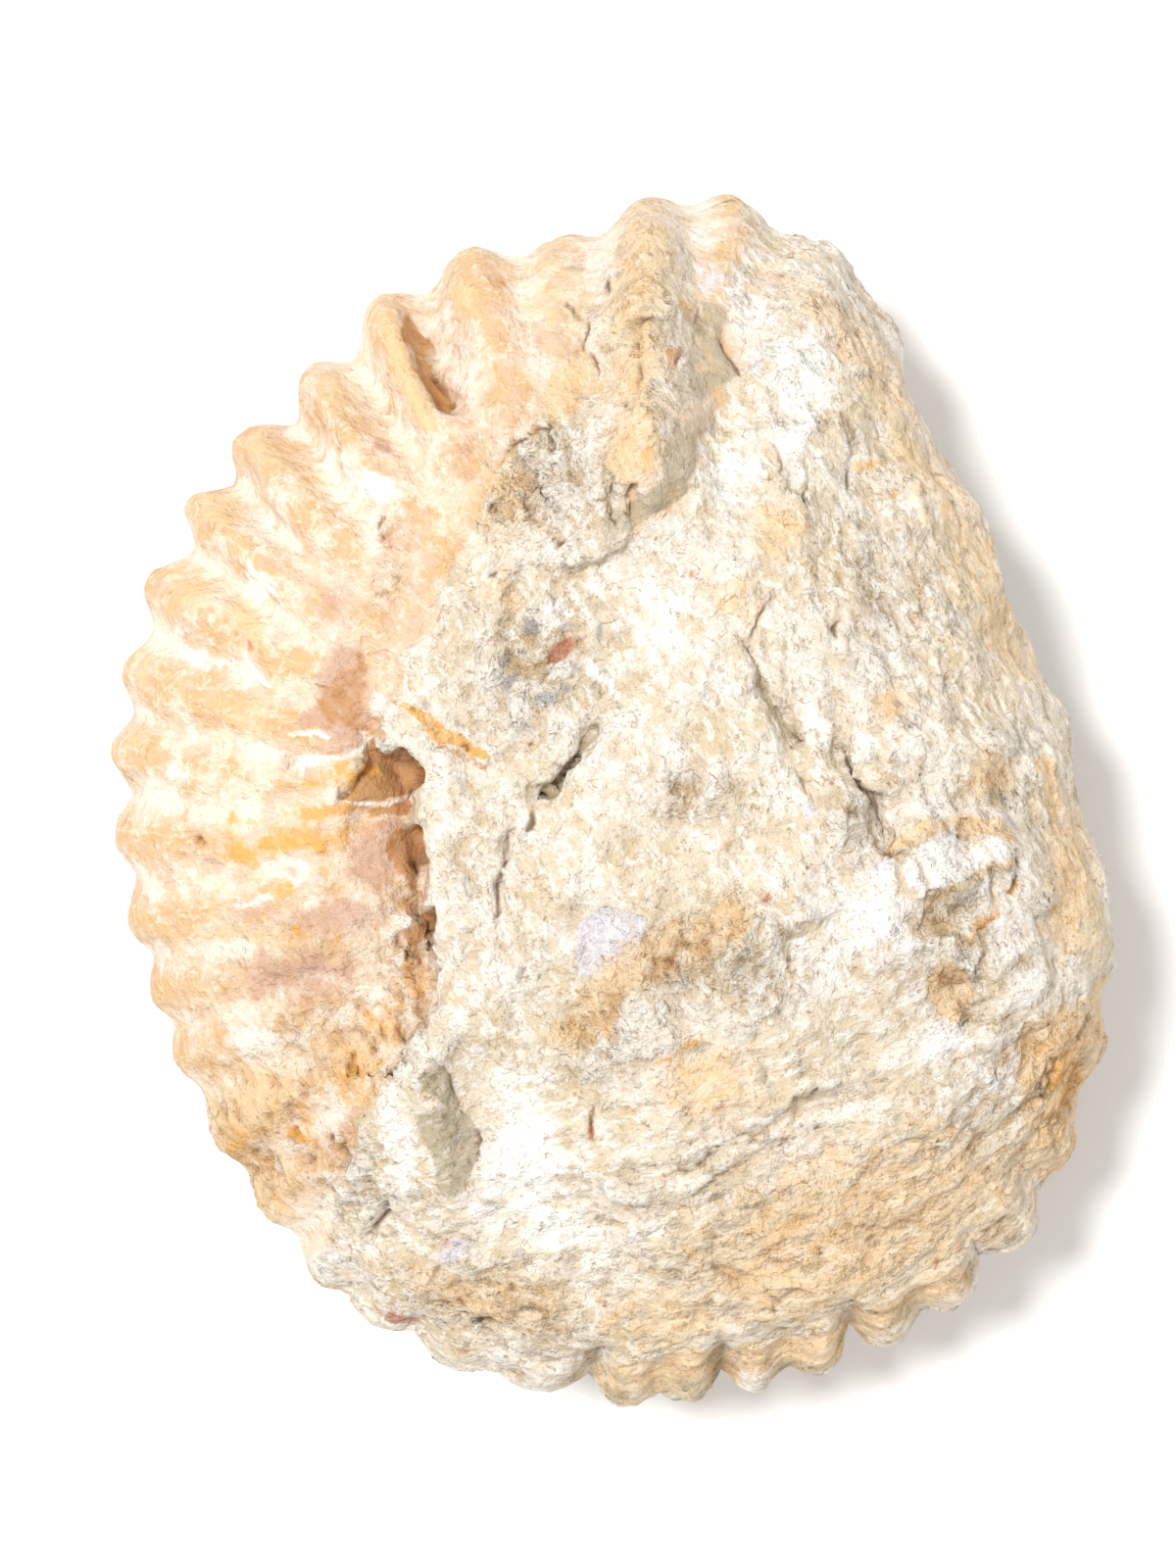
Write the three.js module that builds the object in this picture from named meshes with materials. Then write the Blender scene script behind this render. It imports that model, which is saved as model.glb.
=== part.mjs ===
// A fossil ammonite with the matrix rock that still sticks to it, lying on its worn flank.
// Millimetres, +Z up. The stone is one grown and buried thing, so the model is one closed solid:
// rings of points run from the top of the matrix, over the rim, to the middle of the umbilicus.
import { BufferAttribute, BufferGeometry, Group, MathUtils, Mesh, MeshStandardMaterial } from 'three';

// ---- Driving dimensions -------------------------------------------------------------------
const LENGTH = 136;                  // along Y
const WIDTH = 113;                   // along X
const THICKNESS = 60;                // from the surface it lies on to the top of the matrix
const RIM_HEIGHT = 27;               // the widest line, which is the shell's outer edge
const TOP_CENTRE = [3, 6];           // where the upper ribs aim, once they have bent
const UMBILICUS = [4, -5];           // the middle of the coil, seen on the underside

// ---- Outline ------------------------------------------------------------------------------
// Radius of the rim round TOP_CENTRE, [degrees, mm], counter-clockwise from +X. The last whorl is
// broken off from about 345 to 60 degrees, so the edge is nearly straight there.
const RIM = [
  [15, 44.4], [36, 45.6], [51, 49.2], [64, 56.6], [69, 59.8], [76, 59.7], [81, 62.2], [90, 60.4],
  [100, 57.4], [110, 58.4], [121, 57.2], [132, 55.2], [152, 56.7], [172, 58.4], [190, 59.6],
  [207, 61.6], [222, 64.9], [238, 69.4], [252, 71.9], [268, 73.3], [286, 72.4], [300, 71], [316, 66],
  [326, 61.8], [343, 55], [350, 50.5], [359, 48.4],
];

// Ribs: each crest's angle on the rim, in degrees. The worn side has evenly spaced low ones.
const CLEAR_CRESTS = [
  90, 99.5, 109.5, 121, 132, 142.5, 152, 161.5, 172, 180.5, 189.5, 199, 207, 214, 222.5, 230.5, 238.5,
  245, 252, 259.5, 268.5, 274, 280, 286, 293, 299.5, 308, 316, 326.5, 336.5,
];
const WORN_CRESTS = 10;              // 40 ribs in all, so the rings of points can be halved thrice
// Half height of the ribs at the rim, [degrees, mm].
const RIB_HEIGHT = [
  [30, 0.2], [75, 0.3], [90, 1.2], [102, 0.7], [121, 1.7], [152, 1.5], [180, 1.1], [207, 0.8],
  [228, 0.7], [238, 1], [255, 0.5], [272, 0.9], [290, 1.1], [318, 0.9], [336, 0.7], [350, 0.2],
];
// How much of that is left on the upper flank, inward of the rim, [degrees, share].
const FLANK_RIBS = [
  [60, 0.4], [90, 0.8], [121, 1.2], [152, 1.1], [170, 0.7], [195, 0.45], [225, 0.6], [260, 0.5],
];
const INNERMOST_RIBS = 0.15;         // the same share near the middle of the top
// Half height of the ribs on the underside's flank, [degrees, mm].
const UNDER_RIB_HEIGHT = [
  [40, 0.6], [90, 1.1], [150, 1.5], [215, 1.3], [270, 0.9], [320, 1.2], [350, 0.6],
];
const INNER_RIB_HEIGHT = 0.5;        // of the older whorls in the umbilicus
const CREST_BREADTH = 2.4;           // above 2 the crests are broader than the furrows
// How far a rib has turned, in degrees, by the time it reaches the middle.
const RIB_BEND = [[60, 0], [90, 1], [121, 7], [142, 15], [215, 15], [270, 8], [350, 0]];

// ---- Heights ------------------------------------------------------------------------------
const DOME_TOP = 57.5;               // the upper side is one low dome, shell and matrix alike
const DOME_CENTRE = [7, 6];
const DOME_FALL = 0.0014;            // how fast the dome gets lower away from its centre
const MATRIX_STEP = 1;               // how far the matrix stands above the bare shell beside it
// Along the left the inner side of the whorl falls away from the matrix into a gully.
const GULLY_DEPTH = 7;
const GULLY_WIDTH = 8;
const GULLY_MIDDLE = -6;             // along Y
const GULLY_REACH = 17;
const TOP_ROUND = 3.1;               // the larger, the flatter the top and the steeper the sides
const UNDER_ROUND = 3.6;
const SINK = 1.6;                    // how much of the underside's crests is worn off flat

// Umbilicus: its edge is a spiral that shrinks by WHORL_RATIO in each turn.
const UMBILICUS_RADIUS = 26;
const WHORL_RATIO = 1.6;
const APERTURE_ANGLE = 50;
const APERTURE_BLEND = 30;
const UMBILICUS_DEPTH = [7.5, 13];   // at its edge and in its middle
const UMBILICUS_WALL = 0.16;         // share of its radius that the steep wall takes
const INNER_BULGE = 3;

// ---- The matrix on top --------------------------------------------------------------------
// Edge of the matrix against the shell, with the matrix on its left, from the top to the lower left.
const MATRIX_EDGE = [
  [14.5, 75], [14.5, 63.8], [12.1, 54.8], [12.7, 49.5], [10, 42.1], [6.6, 32.3], [2.4, 28.8],
  [-2.4, 26], [-13.5, 25.7], [-18.3, 24.1], [-24.9, 11.9], [-25.7, 6.6], [-22.5, 2.9], [-21.5, -5],
  [-20.2, -13.5], [-20.1, -22.7], [-27, -29.7], [-29.9, -39.9], [-34.6, -54.2], [-45, -70],
];
const EDGE_SOFTNESS = 0.8;
// Ridges (rise above 0) and grooves (rise below 0) along a path, with the half width they reach.
const CREASES = [
  { name: 'ochre ridge', path: [[2.5, 72], [3.2, 56], [2.6, 45], [1.2, 36]], reach: 4.6, rise: 4.2 },
  { name: 'furrow beside it', path: [[-5, 60], [-4, 51], [-3.2, 45]], reach: 2, rise: -1.6 },
  { name: 'slope foot', path: [[23.2, 6], [27.4, -0.2], [29, -3.9]], reach: 1.5, rise: -1.4 },
  { name: 'middle groove', path: [[-2.7, 7.3], [-6, 2.4], [-8.8, 0]], reach: 0.8, rise: -2.2 },
  { name: 'rib hollow', path: [[-23.1, 55], [-20.1, 46.4], [-18.7, 43.2]], reach: 1.6, rise: -3.6 },
  { name: 'block ridge', path: [[34, -10], [38.3, -8.2], [42.6, -6.2]], reach: 1.8, rise: 1.6 },
  { name: 'block rib', path: [[36.6, -15.6], [40, -13.4], [45, -10]], reach: 1.6, rise: 1.4 },
  { name: 'block line', path: [[29.6, -4.8], [32.6, -2.8], [39, -1.8], [43.4, -4]], reach: 1.3, rise: 1.2 },
  { name: 'edge foot', path: [[-25, 8], [-22.8, 0], [-21.6, -8], [-20.4, -18]], reach: 1.3, rise: -2.2 },
];
// Low cliffs: the ground on the left of the path is higher by rise, and levels out over fade.
const CLIFFS = [
  { name: 'chip scar', path: [[-17.4, -43], [-18, -36.5], [-19.4, -28]], soft: 1.5, rise: 3.8, fade: 9 },
  { name: 'ridge end', path: [[-3, 25.6], [3, 29], [7.4, 34], [8.6, 41.5]], soft: 0.8, rise: 2.4, fade: 12 },
  { name: 'ridge foot', path: [[6.6, 66], [8.2, 47], [8.8, 40]], soft: 1.6, rise: -2.6, fade: 14 },
  { name: 'middle ledge', path: [[12.8, -18], [19.6, -13.8], [24, -12]], soft: 0.5, rise: 1.3, fade: 8 },
  { name: 'block edge', path: [[28.4, -5.5], [35, -3.2], [42.9, -4.6]], soft: 0.6, rise: -1, fade: 6 },
  { name: 'lower ledge', path: [[5.5, -40.1], [15.8, -34.9], [22, -32]], soft: 0.5, rise: 0.9, fade: 7 },
];
const SOFTER_PAST_END = 0.6;         // how much softer a cliff gets, for each mm past its end
// Round knobs (rise above 0) and hollows (rise below 0).
const LUMPS = [
  { name: 'left pit under the ridge', at: [-1, 32.6], radius: [1.1, 2.4], rise: -2 },
  { name: 'right pit under the ridge', at: [1.5, 31.6], radius: [1, 1.8], rise: -1.8 },
  { name: 'block hollow', at: [36.8, -12.4], radius: [4, 1.8], rise: -1.2 },
  { name: 'lower block hollow', at: [37.4, -20.9], radius: [2.4, 4.6], rise: -2.2 },
  { name: 'block knob', at: [45.5, -18.5], radius: [4.5, 5], rise: 1.2 },
  { name: 'rough hollow', at: [-8.4, 34.6], radius: [5.6, 5.4], rise: -2.4 },
  { name: 'broken flake', at: [-24.9, 3], radius: [2.6, 3.2], rise: -1.6 },
  { name: 'smooth facet', at: [-1.3, -15.1], radius: [3.3, 4], rise: -0.8 },
];
// Grooves with an upright wall on the left of the path and a slope on its right. Width of the slope
// and depth are those at the path's end, and both grow towards it.
const GOUGES = [
  {
    name: 'chiselled groove', width: 2.4, depth: 3,
    path: [[10.2, 21], [13.8, 16], [16.4, 11.3], [18, 9.2], [20, 6.2]],
  },
  {
    name: 'edge of the slope', width: 2, depth: 1.8,
    path: [[23.4, 6.4], [25.2, 4.4], [26.6, 1.2], [28.2, -1], [29.2, -4.6]],
  },
];
const GOUGE_START = { depth: 0.15, width: 0.4 };
const GOUGE_WALL = 0.5;
const GOUGE_END = 0.8;
// Slow swells of the broken matrix: waves, each turned and shifted from the one before.
const SWELLS = { count: 6, longest: 31, shorter: 4, height: 0.5, lower: 0.05, turned: 2.4, shifted: 1.7 };
// Deep nicks where two ribs meet the lower rim, [degrees on the rim, depth].
const NICKS = [[265, 2.2], [277, 1.6], [289.5, 2.4], [303, 1.4]];
const NICK_WIDTH = 1.3;              // degrees
// The worn side, where the last whorl is missing, goes in and out unevenly along the outline.
const WORN_MIDDLE = 22;              // degrees
const WORN_REACH = 38;
const SIDE_LUMPS = [
  { height: 0.7, degrees: 4.1, climb: 5, shift: 0 },
  { height: 0.56, degrees: 2.3, climb: -3.7, shift: 2 },
];
// Where, from the middle (0) to the rim (1), the ribs and nicks come up on the shell and the matrix.
const SHELL_RIBS_FROM = [0.62, 0.9];
const FULL_RIBS_FROM = [0.93, 1];
const MATRIX_RIBS_FROM = [0.9, 0.985];
const NICKS_FROM = [0.88, 0.97];
// The ridges, cliffs and hollows of the top come up as the side turns over, from upright (0).
const DETAILS_FROM = [0, 0.5];
// Where, from the edge of the umbilicus (0) to the rim (1), the ribs come up on the underside.
const UNDER_RIBS_FROM = [0, 0.25];
const RIM_BLEND = 0.12;              // share of the radius over which the rim's ribs become the flank's

// ---- Mesh density -------------------------------------------------------------------------
const POINTS_PER_RIB = 4;
// Each row is [place, thinning]: on top the place is 1 at the rim and 0 in the middle; below it is
// 1 at the rim, 0 at the edge of the umbilicus and -1 in its middle. Thinning 2 keeps half the points.
const TOP_ROWS = [
  [0.995, 1], [0.98, 1], [0.957, 1], [0.925, 1], [0.885, 1], [0.84, 1], [0.79, 1], [0.74, 1],
  [0.69, 1], [0.64, 1], [0.59, 1], [0.54, 1], [0.49, 2], [0.44, 2], [0.39, 2], [0.34, 2],
  [0.28, 2], [0.22, 4], [0.15, 4], [0.08, 8],
];
const UNDER_ROWS = [
  [0.99, 1], [0.96, 1], [0.91, 1], [0.83, 1], [0.72, 1], [0.58, 1], [0.44, 1], [0.3, 1], [0.17, 1],
  [0.06, 1], [-0.02, 2], [-0.14, 2], [-0.26, 2], [-0.37, 2], [-0.48, 4], [-0.6, 4], [-0.74, 4],
  [-0.87, 8],
];

// ---- Small helpers ------------------------------------------------------------------------
const DEG = MathUtils.DEG2RAD;
const gauss = (distance, reach) => Math.exp(-((distance / reach) ** 2));
const wrap = (degrees) => ((degrees % 360) + 360) % 360;

// A smooth closed curve through [degrees, value] knots.
function roundCurve(knots) {
  const count = knots.length;
  const at = (i) => {
    const turns = Math.floor(i / count);
    const [degrees, value] = knots[i - turns * count];
    return [degrees + 360 * turns, value];
  };
  const slope = (i) => (at(i + 1)[1] - at(i - 1)[1]) / (at(i + 1)[0] - at(i - 1)[0]);
  return (degrees) => {
    const first = at(0)[0];
    const angle = first + wrap(degrees - first);
    let i = 0;
    while (at(i + 1)[0] <= angle) i += 1;
    const [a, valueA] = at(i);
    const [b, valueB] = at(i + 1);
    const span = b - a;
    const t = (angle - a) / span;
    const [t2, t3] = [t * t, t * t * t];
    return valueA * (2 * t3 - 3 * t2 + 1) + valueB * (3 * t2 - 2 * t3)
      + span * (slope(i) * (t3 - 2 * t2 + t) + slope(i + 1) * (t3 - t2));
  };
}

// Nearest point of a path: the distance, the distance signed plus on the path's left, how far the
// point lies past either end, and the share of the path before it.
function nearest(path, x, y) {
  let best = { distance: Infinity, signed: 0, past: 0, along: 0 };
  const last = path.length - 2;
  for (let i = 0; i <= last; i += 1) {
    const [ax, ay] = path[i];
    const [dx, dy] = [path[i + 1][0] - ax, path[i + 1][1] - ay];
    const raw = ((x - ax) * dx + (y - ay) * dy) / (dx * dx + dy * dy);
    const t = MathUtils.clamp(raw, 0, 1);
    const distance = Math.hypot(x - ax - t * dx, y - ay - t * dy);
    if (distance < best.distance) {
      const across = (dx * (y - ay) - dy * (x - ax)) / Math.hypot(dx, dy);
      const atEnd = (i === 0 && raw < 0) || (i === last && raw > 1);
      const signed = atEnd ? across : distance * (across < 0 ? -1 : 1);
      best = { distance, signed, past: atEnd ? distance : 0, along: (i + t) / (last + 1) };
    }
  }
  return best;
}

// ---- Ribs ---------------------------------------------------------------------------------
const rimRadius = roundCurve(RIM);
const ribHeight = roundCurve(RIB_HEIGHT);
const flankRibs = roundCurve(FLANK_RIBS);
const underRibHeight = roundCurve(UNDER_RIB_HEIGHT);
const ribBend = roundCurve(RIB_BEND);

function crestAngles() {
  const crests = [...CLEAR_CRESTS];
  const last = crests[crests.length - 1];
  const step = (crests[0] + 360 - last) / (WORN_CRESTS + 1);
  for (let i = 1; i <= WORN_CRESTS; i += 1) crests.push(last + i * step);
  return crests;
}

// +1 on a crest, -1 in the middle of a furrow.
const ribWave = (phase) => 1 - 2 * Math.abs(Math.sin(Math.PI * phase)) ** CREST_BREADTH;

// One column for each point round the rim: its angle and its place within its rib.
function makeColumns() {
  const crests = crestAngles();
  return crests.flatMap((crest, i) => {
    const next = i + 1 < crests.length ? crests[i + 1] : crests[0] + 360;
    return Array.from({ length: POINTS_PER_RIB }, (_, k) => {
      const phase = k / POINTS_PER_RIB;
      return { angle: crest + (next - crest) * phase, wave: ribWave(phase) };
    });
  });
}

// ---- Surfaces -----------------------------------------------------------------------------
const turnBetween = (angle, centre) => wrap(angle - centre + 180) - 180;

function nickDepth(angle) {
  const deep = ([at, depth]) => depth * gauss(turnBetween(angle, at), NICK_WIDTH);
  return NICKS.reduce((sum, nick) => sum + deep(nick), 0);
}

function swell(x, y) {
  let height = 0;
  for (let i = 0; i < SWELLS.count; i += 1) {
    const direction = SWELLS.turned * i;
    const wavelength = SWELLS.longest - SWELLS.shorter * i;
    const along = x * Math.cos(direction) + y * Math.sin(direction);
    const wave = Math.sin((2 * Math.PI * along) / wavelength + SWELLS.shifted * i);
    height += (SWELLS.height - SWELLS.lower * i) * wave;
  }
  return height;
}

function sideLumps(angle, z) {
  const worn = gauss(turnBetween(angle, WORN_MIDDLE), WORN_REACH);
  const lump = ({ height, degrees, climb, shift }) => height * Math.sin(angle / degrees + z / climb + shift);
  return worn * SIDE_LUMPS.reduce((sum, wave) => sum + lump(wave), 0);
}

// Near 1 on a path's left and 0 on its right, dying out away from it and past its ends.
function stepAcross(path, soft, fade, x, y) {
  const { distance, signed, past } = nearest(path, x, y);
  const step = 0.5 + 0.5 * Math.tanh(signed / (soft + SOFTER_PAST_END * past));
  return step * gauss(distance, fade) * gauss(past, fade / 2);
}

// Share of a gouge's depth, 0 to 1.
function gouge(path, width, x, y) {
  const { signed, past, along } = nearest(path, x, y);
  const slope = MathUtils.clamp(1 + signed / (GOUGE_START.width + width * along), 0, 1);
  const wall = 1 - MathUtils.smoothstep(signed, 0, GOUGE_WALL);
  const deep = MathUtils.lerp(GOUGE_START.depth, 1, along);
  return deep * (signed < 0 ? slope : wall) * (1 - MathUtils.smoothstep(past, 0, GOUGE_END));
}

function details(x, y) {
  let height = 0;
  for (const { path, reach, rise } of CREASES) {
    height += rise * gauss(nearest(path, x, y).distance, reach);
  }
  for (const { path, soft, rise, fade } of CLIFFS) height += rise * stepAcross(path, soft, fade, x, y);
  for (const { at, radius, rise } of LUMPS) {
    height += rise * gauss(Math.hypot((x - at[0]) / radius[0], (y - at[1]) / radius[1]), 1);
  }
  for (const { path, width, depth } of GOUGES) height -= depth * gouge(path, width, x, y);
  return height;
}

// Height of the upper side before its rim rounds off, and 1 where matrix covers the shell.
function topShape(x, y) {
  const inside = nearest(MATRIX_EDGE, x, y).signed;
  const dome = DOME_TOP - DOME_FALL * ((x - DOME_CENTRE[0]) ** 2 + (y - DOME_CENTRE[1]) ** 2);
  const bare = gauss(y - GULLY_MIDDLE, GULLY_REACH);
  const gully = GULLY_DEPTH * bare * gauss(Math.min(0, inside), GULLY_WIDTH);
  const cover = MathUtils.smoothstep(inside, -EDGE_SOFTNESS, EDGE_SOFTNESS);
  return { height: dome + cover * (MATRIX_STEP * bare + swell(x, y)) - (1 - cover) * gully, cover };
}

// Outward direction of a bulging side, as its level part and its upright part.
function sideNormal(s, rise, radius, power) {
  const slope = (rise * power * s ** (power - 1)) / (2 * radius * Math.sqrt(Math.max(1e-4, 1 - s ** power)));
  const size = Math.hypot(slope, 1);
  return [slope / size, 1 / size];
}

function topPoint(column, s) {
  const angle = column.angle + ribBend(column.angle) * (1 - s);
  const radius = rimRadius(angle);
  const [cos, sin] = [Math.cos(angle * DEG), Math.sin(angle * DEG)];
  const x = TOP_CENTRE[0] + s * radius * cos;
  const y = TOP_CENTRE[1] + s * radius * sin;
  const { height, cover } = topShape(x, y);
  const bulge = Math.sqrt(1 - s ** TOP_ROUND);
  const [level, upright] = sideNormal(s, height - RIM_HEIGHT, radius, TOP_ROUND);
  const onFlank = MathUtils.smoothstep(s, ...SHELL_RIBS_FROM);
  const flankShare = MathUtils.lerp(INNERMOST_RIBS, flankRibs(column.angle), onFlank);
  const onShell = MathUtils.lerp(flankShare, 1, MathUtils.smoothstep(s, ...FULL_RIBS_FROM));
  const onMatrix = MathUtils.smoothstep(s, ...MATRIX_RIBS_FROM);
  const nick = nickDepth(column.angle) * MathUtils.smoothstep(s, ...NICKS_FROM);
  const rib = ribHeight(column.angle) * column.wave * MathUtils.lerp(onShell, onMatrix, cover) - nick;
  const inDetail = details(x, y) * MathUtils.smoothstep(bulge, ...DETAILS_FROM);
  const z = RIM_HEIGHT + (height - RIM_HEIGHT) * bulge + inDetail;
  const push = (rib + sideLumps(angle, z)) * level;
  return [x + push * cos, y + push * sin, z + rib * upright];
}

// Radius of the umbilicus's edge: a spiral, with the broken end of the last whorl eased over.
function umbilicusEdge(degrees) {
  const turn = wrap(degrees - APERTURE_ANGLE) / 360;
  const spiral = UMBILICUS_RADIUS * WHORL_RATIO ** -turn;
  const ease = MathUtils.smoothstep(turn * 360, 360 - APERTURE_BLEND, 360);
  return MathUtils.lerp(spiral, UMBILICUS_RADIUS, ease);
}

// One point of the underside. In the umbilicus the older whorls step inward and deeper.
function umbilicusPoint(column, edge, inward) {
  const wall = MathUtils.smoothstep(inward, 0, UMBILICUS_WALL);
  const whorls = Math.log(1 - inward) / Math.log(1 / WHORL_RATIO);
  const round = Math.sin(Math.PI * whorls) ** 2 * (1 - inward);
  const bulge = (INNER_BULGE + INNER_RIB_HEIGHT * column.wave) * round;
  const depth = MathUtils.lerp(UMBILICUS_DEPTH[0], UMBILICUS_DEPTH[1], inward);
  return [edge * (1 - inward), Math.max(0, wall * depth - bulge)];
}

function flankPoint(column, radius, s, place) {
  const [level, upright] = sideNormal(s, RIM_HEIGHT, radius, UNDER_ROUND);
  const atRim = ribHeight(column.angle) * column.wave - nickDepth(column.angle);
  const full = underRibHeight(column.angle) * column.wave;
  const onFlank = full * MathUtils.smoothstep(place, ...UNDER_RIBS_FROM);
  const rib = MathUtils.lerp(atRim, onFlank, MathUtils.smoothstep(1 - s, 0, RIM_BLEND));
  const z = RIM_HEIGHT - (RIM_HEIGHT + SINK) * Math.sqrt(1 - s ** UNDER_ROUND) - rib * upright;
  return [s * radius + (rib + sideLumps(column.angle, z)) * level, Math.max(0, z)];
}

function underPoint(column, place) {
  const rim = rimRadius(column.angle);
  const dx = TOP_CENTRE[0] + rim * Math.cos(column.angle * DEG) - UMBILICUS[0];
  const dy = TOP_CENTRE[1] + rim * Math.sin(column.angle * DEG) - UMBILICUS[1];
  const radius = Math.hypot(dx, dy);
  const straight = Math.atan2(dy, dx) / DEG;
  const edge = umbilicusEdge(straight);
  const s = (place < 0 ? edge * (1 + place) : MathUtils.lerp(edge, radius, place)) / radius;
  const [r, z] = place < 0
    ? umbilicusPoint(column, edge, -place)
    : flankPoint(column, radius, s, place);
  const angle = (straight + ribBend(column.angle) * (1 - s)) * DEG;
  return [UMBILICUS[0] + r * Math.cos(angle), UMBILICUS[1] + r * Math.sin(angle), z];
}

// ---- Mesh ---------------------------------------------------------------------------------
function makeRings(columns) {
  const ring = (row, point) => columns
    .filter((_, j) => j % row[1] === 0)
    .map((column) => point(column, row[0]));
  const top = [...TOP_ROWS].reverse().map((row) => ring(row, topPoint));
  const under = UNDER_ROWS.map((row) => ring(row, underPoint));
  return [...top, ring([1, 1], topPoint), ...under];
}

const middle = (ring) => [0, 1, 2].map((axis) => ring.reduce((sum, p) => sum + p[axis], 0) / ring.length);

// Triangles between two rings, which may have the same number of points or differ by two to one.
function stitch(upper, lower, points) {
  const gap = (a, b) => Math.hypot(...[0, 1, 2].map((axis) => points[a][axis] - points[b][axis]));
  const [up, low] = [upper.count, lower.count];
  const triangles = [];
  for (let j = 0; j < Math.min(up, low); j += 1) {
    const u = (k) => upper.start + (k % up);
    const l = (k) => lower.start + (k % low);
    if (up === low) {
      const [a, b, c, d] = [u(j), u(j + 1), l(j), l(j + 1)];
      triangles.push(...(gap(a, d) < gap(b, c) ? [a, c, d, a, d, b] : [a, c, b, b, c, d]));
    } else if (up < low) {
      triangles.push(u(j), l(2 * j), l(2 * j + 1), u(j), l(2 * j + 1), u(j + 1));
      triangles.push(u(j + 1), l(2 * j + 1), l(2 * j + 2));
    } else {
      triangles.push(l(j), l(j + 1), u(2 * j + 1), l(j), u(2 * j + 1), u(2 * j));
      triangles.push(l(j + 1), u(2 * j + 2), u(2 * j + 1));
    }
  }
  return triangles;
}

function makeStone() {
  const rings = makeRings(makeColumns());
  const points = [middle(rings[0]), ...rings.flat(), middle(rings[rings.length - 1])];
  const triangles = [];
  let start = 1;
  const spans = rings.map((ring) => {
    const span = { start, count: ring.length };
    start += ring.length;
    return span;
  });
  const [first, last] = [spans[0], spans[spans.length - 1]];
  for (let j = 0; j < first.count; j += 1) {
    triangles.push(0, first.start + j, first.start + ((j + 1) % first.count));
  }
  for (let i = 0; i + 1 < spans.length; i += 1) triangles.push(...stitch(spans[i], spans[i + 1], points));
  for (let j = 0; j < last.count; j += 1) {
    triangles.push(points.length - 1, last.start + ((j + 1) % last.count), last.start + j);
  }
  const geometry = new BufferGeometry();
  geometry.setAttribute('position', new BufferAttribute(new Float32Array(points.flat()), 3));
  geometry.setIndex(triangles);
  return fitToSize(geometry);
}

// Brings the stone to its exact outside size, centred over the origin and standing on z = 0.
function fitToSize(geometry) {
  geometry.computeBoundingBox();
  const { min, max } = geometry.boundingBox;
  geometry.translate(-(min.x + max.x) / 2, -(min.y + max.y) / 2, 0);
  geometry.scale(WIDTH / (max.x - min.x), LENGTH / (max.y - min.y), THICKNESS / max.z);
  geometry.computeVertexNormals();
  return geometry;
}

const stone = new MeshStandardMaterial({ color: 0xe3d2b8, roughness: 0.92, metalness: 0 });
const ammonite = new Mesh(makeStone(), stone);
ammonite.name = 'ammonite';

const model = new Group();
model.add(ammonite);
export default model;
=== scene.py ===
"""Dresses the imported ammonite: one finely modelled stone, with the matrix on its upper flank, that
stands for the CAD solid. The shape comes from the same formulas and named values as the CAD source,
in millimetres about the fossil's own origin, and is then fitted to the frame's box, in metres. Only
the ribs on the upper flank stand a little higher here."""
import math

import bpy
import numpy as np
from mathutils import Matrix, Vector


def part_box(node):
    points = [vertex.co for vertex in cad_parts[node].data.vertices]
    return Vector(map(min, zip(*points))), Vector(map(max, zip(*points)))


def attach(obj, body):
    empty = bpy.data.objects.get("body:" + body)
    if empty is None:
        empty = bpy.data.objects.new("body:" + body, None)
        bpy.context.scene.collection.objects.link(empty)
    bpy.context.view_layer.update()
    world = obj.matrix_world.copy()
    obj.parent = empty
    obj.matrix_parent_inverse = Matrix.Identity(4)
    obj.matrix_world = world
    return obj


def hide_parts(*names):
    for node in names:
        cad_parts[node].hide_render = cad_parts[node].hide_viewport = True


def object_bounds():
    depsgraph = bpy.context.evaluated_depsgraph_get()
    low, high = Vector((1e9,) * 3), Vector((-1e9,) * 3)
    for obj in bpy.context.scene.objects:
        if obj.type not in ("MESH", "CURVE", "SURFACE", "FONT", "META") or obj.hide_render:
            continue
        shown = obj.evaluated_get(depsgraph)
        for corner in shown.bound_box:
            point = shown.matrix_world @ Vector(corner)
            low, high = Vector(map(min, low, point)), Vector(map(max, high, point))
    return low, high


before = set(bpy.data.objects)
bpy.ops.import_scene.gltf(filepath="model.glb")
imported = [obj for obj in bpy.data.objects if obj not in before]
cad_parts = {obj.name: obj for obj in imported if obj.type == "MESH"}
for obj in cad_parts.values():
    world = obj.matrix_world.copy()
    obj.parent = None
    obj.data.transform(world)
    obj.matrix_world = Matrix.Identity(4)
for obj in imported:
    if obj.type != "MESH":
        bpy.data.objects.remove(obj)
CAD_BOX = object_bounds()

MM = 0.001

# ---- Driving dimensions, as in the CAD source (mm, degrees) -------------------------------------
RIM_HEIGHT = 27            # the widest line, which is the shell's outer edge
TOP_CENTRE = (3, 6)        # where the upper ribs aim, once they have bent
UMBILICUS = (4, -5)        # the middle of the coil, seen on the underside

# The outline, seen from above, as degrees and distance from the top centre.
RIM = [
    (15, 44.4), (36, 45.6), (51, 49.2), (64, 56.6), (69, 59.8), (76, 59.7), (81, 62.2), (90, 60.4),
    (100, 57.4), (110, 58.4), (121, 57.2), (132, 55.2), (152, 56.7), (172, 58.4), (190, 59.6),
    (207, 61.6), (222, 64.9), (238, 69.4), (252, 71.9), (268, 73.3), (286, 72.4), (300, 71), (316, 66),
    (326, 61.8), (343, 55), (350, 50.5), (359, 48.4),
]
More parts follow.
